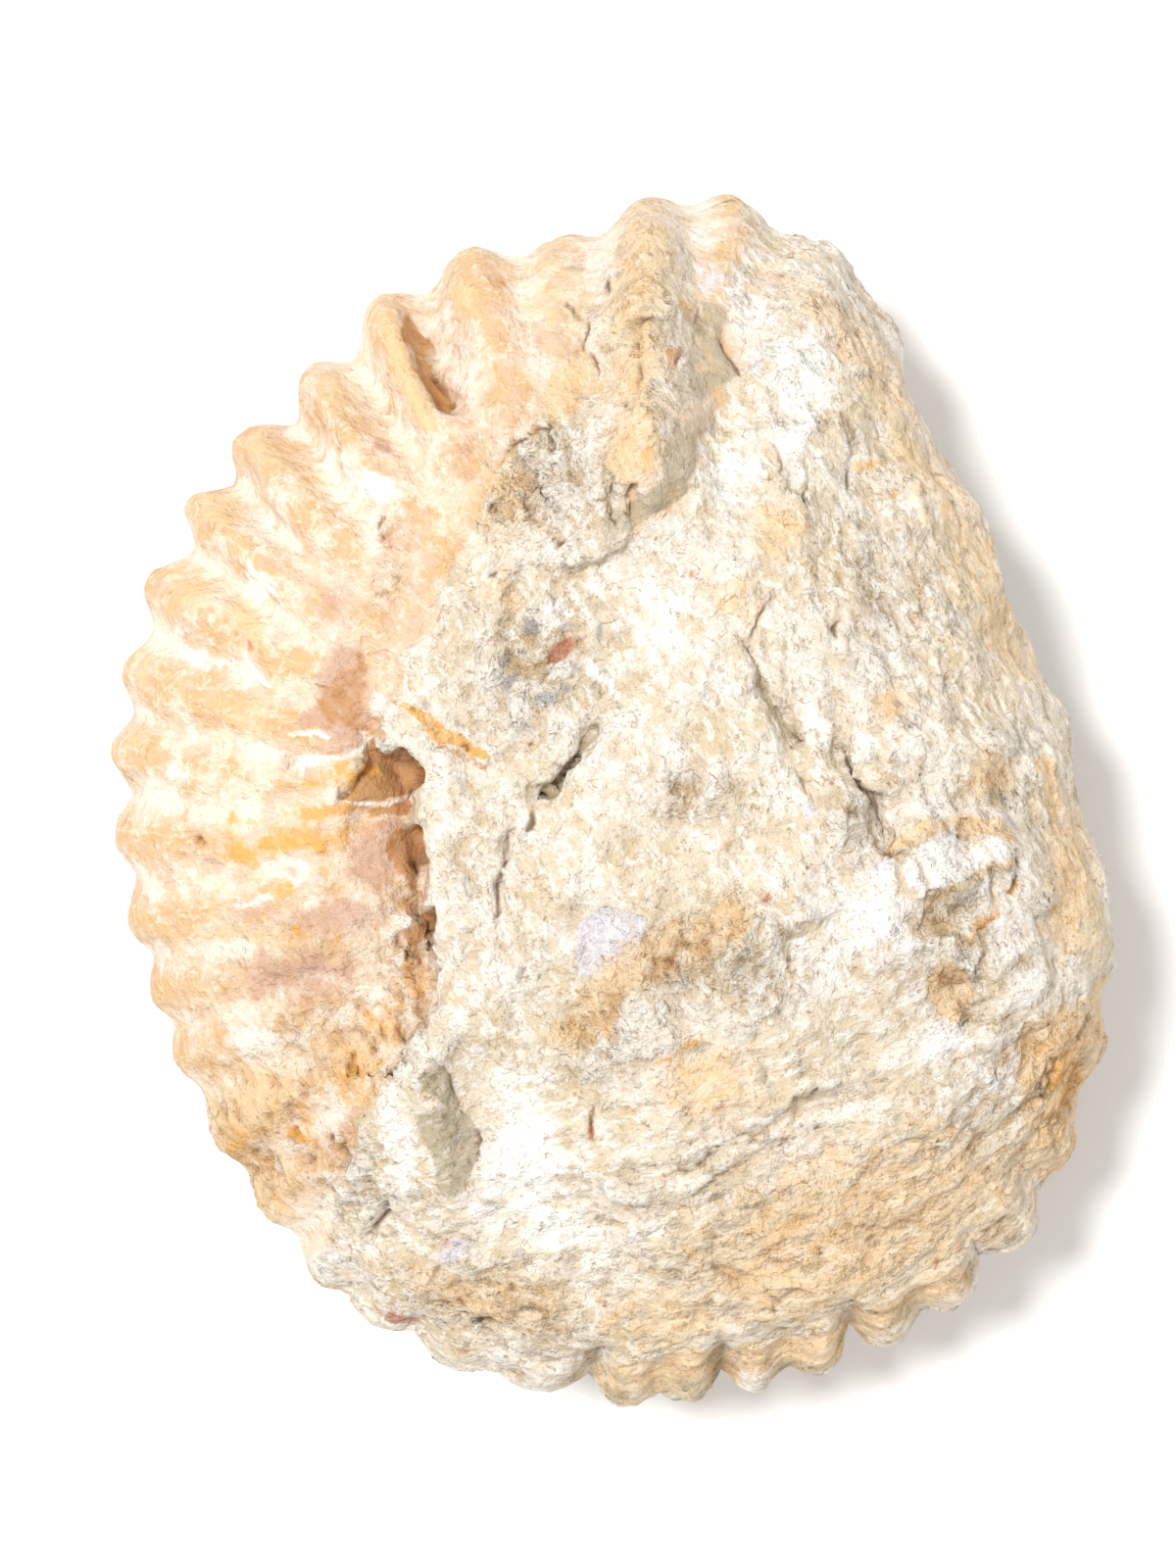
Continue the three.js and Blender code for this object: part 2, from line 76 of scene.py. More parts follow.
# Directions of the rib crests that can be made out. The others, worn, are spread evenly.
CLEAR_CRESTS = [
    90, 99.5, 109.5, 121, 132, 142.5, 152, 161.5, 172, 180.5, 189.5, 199, 207, 214, 222.5, 230.5, 238.5,
    245, 252, 259.5, 268.5, 274, 280, 286, 293, 299.5, 308, 316, 326.5, 336.5,
]
WORN_CRESTS = 10
# Half height of the ribs at the rim, (degrees, mm), and on the underside's flank.
RIB_HEIGHT = [
    (30, 0.2), (75, 0.3), (90, 1.2), (102, 0.7), (121, 1.7), (152, 1.5), (180, 1.1), (207, 0.8),
    (228, 0.7), (238, 1), (255, 0.5), (272, 0.9), (290, 1.1), (318, 0.9), (336, 0.7), (350, 0.2),
]
UNDER_RIB_HEIGHT = [(40, 0.6), (90, 1.1), (150, 1.5), (215, 1.3), (270, 0.9), (320, 1.2), (350, 0.6)]
# How much of the rim's rib height is left on the upper flank, (degrees, share). From 121 to 170 the
# share is up to 0.3 more than in the CAD source, or the bright light would drown the ribs.
FLANK_RIBS = [
    (60, 0.4), (90, 0.8), (121, 1.45), (152, 1.4), (170, 0.8), (195, 0.45), (225, 0.6), (260, 0.5),
]
INNERMOST_RIBS = 0.15      # the same share near the middle of the top
INNER_RIB_HEIGHT = 0.5     # of the older whorls in the umbilicus
CREST_BREADTH = 2.4        # above 2 the crests are broader than the furrows
# How far a rib has turned, in degrees, by the time it reaches the middle.
RIB_BEND = [(60, 0), (90, 1), (121, 7), (142, 15), (215, 15), (270, 8), (350, 0)]

DOME_TOP = 57.5            # the upper side is one low dome, shell and matrix alike
DOME_CENTRE = (7, 6)
DOME_FALL = 0.0014
GULLY_DEPTH = 7            # the whorl's inner side falls away from the matrix along the left
GULLY_WIDTH = 8
GULLY_MIDDLE = -6
GULLY_REACH = 17
MATRIX_STEP = 1            # how far the matrix stands above the bare shell beside it
TOP_ROUND = 3.1            # the larger, the flatter the top and the steeper the sides
UNDER_ROUND = 3.6
SINK = 1.6                 # how much of the underside's crests is worn off flat
UMBILICUS_RADIUS = 26
WHORL_RATIO = 1.6
APERTURE_ANGLE = 50
APERTURE_BLEND = 30
UMBILICUS_DEPTH = (7.5, 13)        # at its edge and in its middle
UMBILICUS_WALL = 0.16      # share of its radius that the steep wall takes
INNER_BULGE = 3

# Edge of the matrix on the bare shell, with the matrix on the left of it.
MATRIX_EDGE = [
    (14.5, 75), (14.5, 63.8), (12.1, 54.8), (12.7, 49.5), (10, 42.1), (6.6, 32.3), (2.4, 28.8),
    (-2.4, 26), (-13.5, 25.7), (-18.3, 24.1), (-24.9, 11.9), (-25.7, 6.6), (-22.5, 2.9), (-21.5, -5),
    (-20.2, -13.5), (-20.1, -22.7), (-27, -29.7), (-29.9, -39.9), (-34.6, -54.2), (-45, -70),
]
EDGE_SOFTNESS = 0.8
# Ridges (rise above 0) and grooves: path, half width, rise.
CREASES = {
    "ochre ridge": ([(2.5, 72), (3.2, 56), (2.6, 45), (1.2, 36)], 4.6, 4.2),
    "furrow beside it": ([(-5, 60), (-4, 51), (-3.2, 45)], 2, -1.6),
    "slope foot": ([(23.2, 6), (27.4, -0.2), (29, -3.9)], 1.5, -1.4),
    "middle groove": ([(-2.7, 7.3), (-6, 2.4), (-8.8, 0)], 0.8, -2.2),
    "rib hollow": ([(-23.1, 55), (-20.1, 46.4), (-18.7, 43.2)], 1.6, -3.6),
    "block ridge": ([(34, -10), (38.3, -8.2), (42.6, -6.2)], 1.8, 1.6),
    "block rib": ([(36.6, -15.6), (40, -13.4), (45, -10)], 1.6, 1.4),
    "block line": ([(29.6, -4.8), (32.6, -2.8), (39, -1.8), (43.4, -4)], 1.3, 1.2),
    "under the edge": ([(-25, 8), (-22.8, 0), (-21.6, -8), (-20.4, -18)], 1.3, -2.2),
}
# Low cliffs: path, softness, rise of the ground on the path's left, reach of the rise. Here the
# ridge's right foot has one point more than in the CAD source.
SOFTER_PAST_END = 0.6      # how much softer a cliff gets, for each mm past its end
CLIFFS = {
    "chip scar": ([(-17.4, -43), (-18, -36.5), (-19.4, -28)], 1.5, 3.8, 9),
    "foot of the ridge's end": ([(-3, 25.6), (3, 29), (7.4, 34), (8.6, 41.5)], 0.8, 2.4, 12),
    "ridge's right foot": ([(6.6, 66), (7.4, 55), (8.2, 47), (8.8, 40)], 1.6, -2.6, 14),
    "middle ledge": ([(12.8, -18), (19.6, -13.8), (24, -12)], 0.5, 1.3, 8),
    "block edge": ([(28.4, -5.5), (35, -3.2), (42.9, -4.6)], 0.6, -1, 6),
    "lower ledge": ([(5.5, -40.1), (15.8, -34.9), (22, -32)], 0.5, 0.9, 7),
}
# Knobs (rise above 0) and hollows: centre, radii, rise.
LUMPS = {
    "left pit under the ridge": ((-1, 32.6), (1.1, 2.4), -2),
    "right pit under the ridge": ((1.5, 31.6), (1, 1.8), -1.8),
    "block hollow": ((36.8, -12.4), (4, 1.8), -1.2),
    "lower block hollow": ((37.4, -20.9), (2.4, 4.6), -2.2),
    "block knob": ((45.5, -18.5), (4.5, 5), 1.2),
    "rough hollow": ((-8.4, 34.6), (5.6, 5.4), -2.4),
    "broken flake": ((-24.9, 3), (2.6, 3.2), -1.6),
    "smooth facet": ((-1.3, -15.1), (3.3, 4), -0.8),
}
# Chiselled grooves with one upright side, on the path's left: path, width, depth, both at its end.
GOUGES = {
    "chiselled groove": ([(10.2, 21), (13.8, 16), (16.4, 11.3), (18, 9.2), (20, 6.2)], 2.4, 3),
    "slope's edge": ([(23.4, 6.4), (25.2, 4.4), (26.6, 1.2), (28.2, -1), (29.2, -4.6)], 2, 1.8),
}
GOUGE_START = (0.15, 0.4)  # share of the depth, and width, at the path's start
GOUGE_WALL = 0.5
GOUGE_END = 0.8
# Slow swells of the broken matrix: waves, each shorter, lower, turned and shifted from the one before.
SWELLS = 6
SWELL_LENGTH, SWELL_SHORTER = 31, 4
SWELL_HEIGHT, SWELL_LOWER = 0.5, 0.05
SWELL_TURN, SWELL_SHIFT = 2.4, 1.7
# Deep nicks where two ribs meet the lower rim: degrees on the rim, depth.
NICKS = [(265, 2.2), (277, 1.6), (289.5, 2.4), (303, 1.4)]
NICK_WIDTH = 1.3           # degrees
# The worn side, where the last whorl is missing: its middle and reach in degrees, and the lumps that
# make it uneven (height, degrees and climb that one takes, shift).
WORN_MIDDLE = 22
WORN_REACH = 38
SIDE_LUMPS = [(0.7, 4.1, 5, 0), (0.56, 2.3, -3.7, 2)]
# Where, from the middle (0) to the rim (1), the ribs and nicks come up on the shell and the matrix.
SHELL_RIBS_FROM = (0.62, 0.9)
FULL_RIBS_FROM = (0.93, 1)
MATRIX_RIBS_FROM = (0.9, 0.985)
NICKS_FROM = (0.88, 0.97)
DETAILS_FROM = (0, 0.5)    # how far the side has turned over, from upright, where details come up
UNDER_RIBS_FROM = (0, 0.25)        # from the edge of the umbilicus to the rim
RIM_BLEND = 0.12           # share of the radius over which the rim's ribs become the flank's

# ---- Finer marks, which the CAD solid leaves out (mm) -------------------------------------------
# Slits and cracks: path, half width, depth, how much higher the ground on the path's left is.
CRACKS = [
    # Middle of the matrix.
    ([(-9.4, -1), (-9.4, -2.4), (-10.2, -3.4)], 0.4, 0.7, 0.4),
    ([(-11.7, -3.3), (-13, -9), (-13.3, -13)], 0.28, 0.8, -0.6),
    ([(16.4, 22), (15.4, 20.4), (14, 16.8)], 0.22, 0.5, -0.5),
    ([(13.7, 22), (13.6, 20), (13.8, 18.6)], 0.12, 0.3, 0.2),
    ([(18.8, 3.4), (19.8, 2), (21.2, -0.9)], 0.16, 0.4, -0.4),
    ([(19.7, -6.7), (21.2, -7.8)], 0.2, 0.5, -0.5),
    ([(23.2, 5.8), (24.4, 4.8), (25.1, 2.6), (25.8, 1.4), (27, 0.6), (27.7, -1.8),
      (29.1, -4)], 0.2, 0.6, -0.4),
    ([(24.6, -0.7), (25.9, -2.4)], 0.15, 0.3, 0.4),
    ([(14, -26.7), (14.6, -25.2), (13.6, -24)], 0.14, 0.3, 0.4),
    ([(23.4, 17.2), (23.4, 18.6), (23.9, 19.4)], 0.24, 0.5, 0),
    ([(-14, 23.8), (-12.8, 24.2)], 0.28, 0.6, 0), ([(-9.8, 6.2), (-9.4, 6.1)], 0.3, 0.4, 0),
    # Orange vein.
    ([(-21.8, 9.8), (-20.2, 8), (-19, 7)], 0.16, 0.4, 0), ([(-16.7, 6.1), (-15.9, 5.5)], 0.3, 0.5, 0),
    # Lower part.
    ([(-2.6, -31.8), (-2.9, -34), (-2.9, -36), (-3.4, -36.8)], 0.18, 0.6, -0.2),
    ([(-19.5, -28.2), (-17.5, -32)], 0.16, 0.5, -0.2),
    ([(-15.5, -35.6), (-15.1, -37.4), (-15.3, -39.8)], 0.2, 0.6, -0.2),
    ([(-25.6, -44.6), (-25.9, -46), (-26.9, -47.2), (-27, -48), (-27.8, -48.4)], 0.35, 1.3, -0.3),
    ([(-14.6, -49), (-19.6, -51), (-21, -53.2)], 0.16, 0.4, 0.5),
    ([(-10.2, -52.6), (-9.8, -52.4)], 0.25, 0.5, 0),
    ([(19, -32.2), (19.9, -33.1), (20.4, -32.9)], 0.2, 0.9, 0),
    ([(5.6, -40), (7.4, -39.3), (9.2, -38), (14, -36), (15.2, -34.8)], 0.16, 0.3, 0.3),
    ([(9.9, -47.6), (9.8, -50), (13, -54)], 0.14, 0.3, -0.5),
    ([(16.9, -56.4), (17.2, -55), (19.5, -53)], 0.16, 0.4, 0.4),
    ([(16, -52.2), (16.8, -54), (17.1, -55.8)], 0.12, 0.3, 0.3),
    ([(25.6, -58.2), (26, -58.8)], 0.25, 0.6, 0),
    ([(-16.4, -57.9), (-14.6, -57.6), (-13, -57.8)], 0.3, 0.8, 0.5),
    ([(-15.2, -58.6), (-13.6, -58.8)], 0.25, 0.7, 0.3),
    # Right block.
    ([(28.4, -6), (28.8, -5.2), (29.4, -6.2)], 0.3, 1, 0), ([(29.6, -5.6), (31.2, -5.5)], 0.22, 0.5, 0.4),
    ([(43.2, -6.2), (43.6, -7.2)], 0.3, 1.1, 0), ([(43.4, -8.2), (42.8, -9.8)], 0.28, 1, 0.3),
    ([(36.6, -24.3), (37.6, -24.2), (38.4, -23.7)], 0.2, 0.6, 0.4),
    ([(43.6, -46.4), (42, -47)], 0.22, 0.5, 0),
    # Upper right.
    ([(23.6, 42.4), (24.8, 41.2), (26.6, 38.2)], 0.16, 0.4, 0.4),
    ([(25.9, 36.2), (25.4, 34.2)], 0.22, 0.6, -0.3),
    ([(20.3, 36.2), (20.5, 33.6), (20.1, 32), (20.4, 30.6), (21.3, 28.6)], 0.14, 0.3, 0.4),
    ([(16.8, 38), (17.6, 36), (17.4, 34.6)], 0.2, 0.3, 0.3),
    # Ridge and rough hollow.
    ([(11.3, 50.6), (12.6, 47.2), (13.3, 46.2)], 0.3, 0.4, -0.8),
    ([(8.6, 54), (8.9, 52.2), (9.5, 50.9)], 0.2, 0.4, 0.2), ([(5.2, 53.8), (5.7, 52.2)], 0.3, 0.7, 0.4),
    ([(1.5, 51.6), (2.6, 51.9), (4, 51.6), (5.6, 52)], 0.2, 0.5, 0.5),
    ([(1.3, 51.2), (1.8, 50.4), (1.4, 48.4), (1.7, 46.6), (1.1, 44.4)], 0.18, 0.4, -0.3),
    ([(-3.6, 51.9), (-2.9, 51), (-3.4, 49.8), (-3.2, 48.8)], 0.28, 0.6, 0.9),
    ([(-2.8, 48.3), (-2.7, 47.4), (-2.2, 46.6)], 0.26, 0.6, 0.8), ([(-6, 55), (-4.4, 52)], 0.2, 0.3, 0.3),
    ([(-1.1, 56.6), (-0.9, 55.4)], 0.3, 0.4, 0.2),
    ([(-12.4, 37.6), (-10.8, 38.7), (-9.9, 39), (-8.8, 40.3)], 0.24, 0.5, 0.8),
    ([(-8.8, 40.3), (-7.6, 40), (-7.4, 41)], 0.2, 0.5, 0.5),
    ([(-7.4, 39.6), (-7, 38.2), (-7.2, 37)], 0.3, 0.5, 0.4),
    ([(-10.3, 33), (-9.9, 31.2), (-8.1, 29)], 0.22, 0.4, -0.5),
    ([(-7.2, 28.2), (-6.6, 27.4), (-5.8, 27.8)], 0.3, 0.5, -0.4),
    ([(-13.9, 31.6), (-13.3, 30.8)], 0.3, 0.4, 0), ([(-0.6, 34.1), (-0.9, 33), (-0.8, 32.2)], 0.26, 1, 0),
    ([(-1.2, 31.8), (-0.9, 30.2), (-0.4, 29)], 0.24, 0.8, 0),
    ([(1.9, 33.4), (1.1, 32.6), (1.2, 30.6)], 0.3, 0.8, 0),
    # Shell: the cavities beside the matrix, and what crumbles from them.
    ([(-30.5, -0.2), (-29, 1), (-27.6, 3.6)], 0.3, 0.8, 0.5),
    ([(-24.2, 5), (-23, 4.7), (-22, 3.2), (-22.9, 0.1)], 0.55, 1.6, 0),
    ([(-22.2, -3.1), (-21.5, -4.4), (-21.4, -6.4), (-22, -7), (-21.7, -8.1)], 0.5, 1.5, 0),
    ([(-22.4, -8.8), (-21.6, -10.8)], 0.16, 0.6, 0),
    ([(-23, -12.1), (-22.2, -12.6), (-21.4, -12.6)], 0.2, 0.6, 0),
    ([(-20, -11.8), (-20.4, -13), (-20.1, -14.2)], 0.5, 1.2, 0),
    ([(-23.9, -13.9), (-23.9, -15.6), (-23.6, -16.1)], 0.2, 0.7, 0),
    ([(-25.9, -24), (-25.9, -25.6), (-25.5, -26.6)], 0.2, 0.7, 0),
    ([(-24.2, -24), (-24.5, -25.2), (-23.6, -26.2)], 0.2, 0.8, 0),
    ([(-27.6, -26.8), (-27, -28)], 0.18, 0.6, 0), ([(-29.8, -28), (-29.4, -29.3)], 0.26, 0.7, 0),
    ([(-31.3, -38), (-30.4, -39), (-31.2, -39.8)], 0.28, 0.8, 0),
    ([(-31.6, -36.8), (-32.4, -37)], 0.3, 0.8, 0),
    ([(-25.6, 31), (-25.9, 29.6), (-25.4, 28)], 0.24, 0.5, 0),
    ([(-20.7, 48.4), (-19.4, 46.4), (-18.4, 44.2), (-18.5, 42.2)], 0.3, 0.8, 0),
]
# Edges of thin flakes: path, half width, rise of the ground on the path's left, reach of the rise.
LEDGES = [
    ([(15.8, -23.4), (17.6, -22), (18.2, -20.4), (18.1, -17.4), (17.2, -15.8)], 0.2, 0.8, 4),
    ([(9.6, -34.2), (14, -32.4)], 0.2, 0.6, 3), ([(8, -41.8), (15, -38.4), (24, -34.8)], 0.2, 0.5, 3),
    ([(34.6, 16), (35.2, 12), (37.6, 8), (39.6, 6)], 0.25, -0.7, 3),
    ([(37, 15), (37.6, 11.8), (39.4, 9)], 0.25, -0.5, 2),
    ([(-30.6, -0.1), (-28.4, 2.4), (-27.4, 4.8), (-28, 6.8), (-31.6, 7.6)], 0.2, 1, 3.5),
    ([(-26, 8.4), (-27.8, 10.4), (-27.8, 12), (-27.4, 14), (-28.2, 16.4)], 0.2, -0.4, 2),
    ([(-33.2, 7), (-35.4, 8.2), (-34.6, 9.6), (-33.3, 11), (-33.4, 13.6)], 0.2, -0.35, 2),
    ([(-30.4, 7.9), (-32, 7.9), (-33.6, 7)], 0.2, 0.35, 1.5),
    ([(41, -19.6), (43.6, -17.2), (47, -16)], 0.3, 0.7, 2),
    ([(42, -22.6), (45, -20.6), (48.6, -19.6)], 0.3, 0.7, 2),
    ([(24, -37.6), (26.4, -37.4), (29, -36)], 0.2, 0.4, 2),
    ([(6.6, -30), (4.8, -27.6), (8.4, -26.2)], 0.2, 0.4, 2),
    ([(-2.4, 20.6), (-3.2, 21.8)], 0.2, 0.4, 1.5),
    ([(-19, 18.4), (-17.6, 19.6), (-16, 20.4)], 0.2, 0.4, 2),
]
# Small round pits: x and y of the centre, radius, depth.
PITS = [
    (-36.5, 4.3, 1, 2.2), (-46.6, -4.2, 1.2, 2), (-45.4, -5, 0.6, 1.1), (-43.9, -4.2, 0.3, 0.7),
    (-42.4, -28.4, 0.6, 1.1), (-43.4, -29.6, 0.7, 0.7), (-34.6, -21.8, 0.5, 0.5), (-35.6, -37, 0.8, 1.2),
    (-34.6, -39.6, 0.7, 0.9), (-40.6, -39.8, 0.9, 1.2), (-40.2, -41.6, 0.7, 0.9), (11.6, -5.5, 0.4, 0.8),
    (25.4, -26.7, 0.4, 0.9), (41.9, -30.3, 0.4, 1), (22, -54.6, 0.3, 0.7), (35.2, -37, 0.3, 0.7),
    (-31.8, -49.2, 0.7, 0.9), (-31.9, -47.6, 0.4, 0.6), (-15.2, -53.2, 0.4, 0.5),
    (-11.5, -53.2, 0.8, 0.4), (48.3, -28.8, 0.3, 0.8), (47.6, -33, 0.35, 1), (45.7, -33.4, 0.3, 0.8),
    (46, -28.6, 0.3, 0.7), (46.7, -28.9, 0.3, 0.6), (38.6, -42.2, 0.4, 0.5), (8.2, 0.3, 0.5, 0.3),
]
# Outlines of small flat places with a crisp edge, and how far some of them rise.
LILAC_FACET = [
    (-2.9, -12.1), (-1.6, -11.3), (2.4, -12.7), (2.4, -14.7), (1.6, -17.1), (-0.1, -18.7), (-2.4, -19.3),
    (-3.9, -18.7), (-4.4, -17.1), (-4.2, -14.1),
]
RIB_HOLLOW = [
    (-23.8, 54.4), (-22.6, 54), (-21.2, 52.4), (-20.8, 51.2), (-21, 48.8), (-18.4, 44.6), (-18.2, 43.6),
    (-18.5, 42.2), (-19.4, 42.1), (-22.1, 47.2), (-22.2, 49), (-23.6, 51),
]
GROOVE = [
    (11.8, 18.1), (15.8, 12.6), (16.8, 10.4), (18, 8.8), (19.4, 8), (20, 6.2), (18, 6.6), (16.2, 10),
    (14.8, 11.6), (14.2, 13.6),
]
LEFT_GROOVE = [
    (-2.7, 7.3), (-3.6, 6), (-4, 4.4), (-5.4, 2.8), (-6, 1.6), (-7.4, 0.6), (-8.8, 0.1), (-8.2, 1.2),
    (-7, 1.8), (-7.2, 2.6), (-6, 4), (-4.6, 5), (-3.8, 6.4),
]
FACETS = [(LILAC_FACET, -0.5), (RIB_HOLLOW, -0.7), (LEFT_GROOVE, -0.8)]
FACET_EDGE = 0.25          # half width of the slope round a facet
AREA_EDGE = 0.35           # half width of the edge of a stain with an outline
BLOT_SPREAD = 1.15         # how much wider than its radii a stain shows

CHIPS = [(7, 0.45), (3.2, 0.32), (1.5, 0.14)]         # facets of the broken matrix: size, rise
CHIP_EDGE = 60             # how abruptly one chip ends at the next
CHIP_TILT = 2.4
CHIPS_RISE = (0.9, 2)      # share of their rise that chips take on a smooth break and on a rough one
TOOTH_RISE = (0.1, 0.26)   # height of the rock's finest grain on each, in mm
# Grain of the lower, the upper right and the other matrix: its direction, how far chips are drawn
# out along it, seed.
GRAINS = [(21, 2.6, 100), (-62, 2, 200), (75, 1.4, 300)]
THINNEST = 0.33            # the thinnest crack's half width that the mesh can show
CRACK_ENDS = 0.55          # share of its width that a crack has at its ends, and what its middle adds
CRACK_MIDDLE = 0.8
CRACK_SIDE = 2.2           # reach of the higher ground beside a crack
CRACK_STEP = 0.2           # softness of the step up to it
PIT_SHARE = 0.8            # of its radius and depth in the table that a pit takes, and of its soil and painted shade
CRUMBLE_DEPTH = 1.1
CRUMBLE_LEVEL = (0.05, 0.55)       # of the noise, where a crumbled hole starts and is deepest
SHELL_FLAKES = (5, 530)    # size, seed
SHELL_FLAKE_RISE = 0.16
GROWTH_LINES = 1.1         # fineness of the growth lines in the relief, and how long they are
GROWTH_LINE_LENGTH = 7
FIBRES = 50                # the same for the finer lines in the colour and the bump
FIBRE_LENGTH = 3
# Noise that relief and ragged edges follow: height in mm, wavelength in mm, octaves, seed. The last
# of all is ridged.
NOISES = {
    "matrix edge": (1.6, 4.5, 3, 640), "marks": (0.5, 2.6, 2, 30),
    "stain edge x": (0.9, 5, 4, 700), "stain edge y": (0.9, 5, 4, 710),
    "rock bend x": (1.6, 8, 3, 50), "rock bend y": (1.6, 8, 3, 60), "rock bend z": (1.6, 8, 3, 70),
    "rock waves": (1.1, 15, 2, 80), "rock tooth": (1, 1.2, 2, 400),
    "shell bend": (1.5, 6, 3, 520), "shell dents": (0.5, 9, 2, 500),
    "growth lines": (0.18, 1.7, 3, 540), "shell tooth": (0.05, 1.3, 2, 560),
    "holes": (1, 3.2, 2, 600), "small holes": (0.45, 1.5, 3, 610, True),
}
OCTAVE_SHIFT = 17.3        # cells between one octave's noise and the next, so that they never line up
SURROUNDINGS = 8           # steps along the mesh that count as a point's surroundings
PROUD_RISE = 0.28          # height above its surroundings at which a point counts as fully proud
FADE_BELOW_RIM = (10, 1)   # how far below the rim the upper side's marks begin, and are full
WORN_ROCK_FROM = (0.7, 0.9)        # from the middle (0) to the rim (1), where the worn side is rock
OCHRE_FROM = (0.5, 0.8)    # the same, where the crests are more ochre than the furrows
SETTLED = 2.5              # height at which the relief of the underside reaches its full strength
ROUGH_SIDE = 0.6           # roughness of the side and the underside
CRUMBLY_SHELL = 0.85       # how much of the rock's relief the roughest shell takes on
# How rough the break is: chips stand higher, and dust and fresh stone show, where this is near 1.
# It is written as a stain is, below.
ROUGH = ([
    (2.5, 50, 5.6, 14, 0.4), (-8, 34, 6, 7, 1), (37, -13, 6, 10, 0.8), (8, -17, 9, 5, 0.9, 20),
    (0, -25, 6, 6, 0.9), (15, -19, 4, 4, 0.7), (-9, 14, 6, 7, 0.9), (25, -1, 3, 6, 0.7),
    (47, -30, 5, 9, 0.5), (-12, -56, 14, 5, 0.7, -15), (13, -60, 16, 5, 0.3), (36, -49, 8, 6, 0.3, 30),
    (-23, -20, 3, 9, 1), (-40, -37, 8, 8, 0.7, 30), (-31, -40, 5, 6, 0.8), (22, -45, 26, 12, 0.45, 18),
    (42, 2, 5, 5, 0.6), (28, 22, 8, 12, 0.4, 30), (24, 52, 6, 12, 0.4, -25), (-25, 25, 2, 6, 0.6, -10),
    (8, 1, 4, 3, 0.7), (-14, -8, 5, 10, 0.3), (41, -35, 6, 8, 0.6), (-32, -27, 9, 8, 0.8),
    (-36, -17, 11, 5, 0.6), (-42, -42, 6, 7, 0.8, 40),
], [], [])
# Broken rock beyond the matrix's own edge, between the whorl's ribs and the ridge.
ROUGH_TOP = ([
    (3, 50, 6, 16, 1.2), (-4, 42, 4, 6, 0.8), (-4, 52, 3, 5, 0.7),
], [], [
    ([(2, 22), (-19.4, 23), (-15.6, 29.2), (-13.3, 35.5), (-11.1, 38.5), (-8.8, 39.6), (-5, 44),
      (0, 40)], 1),
])
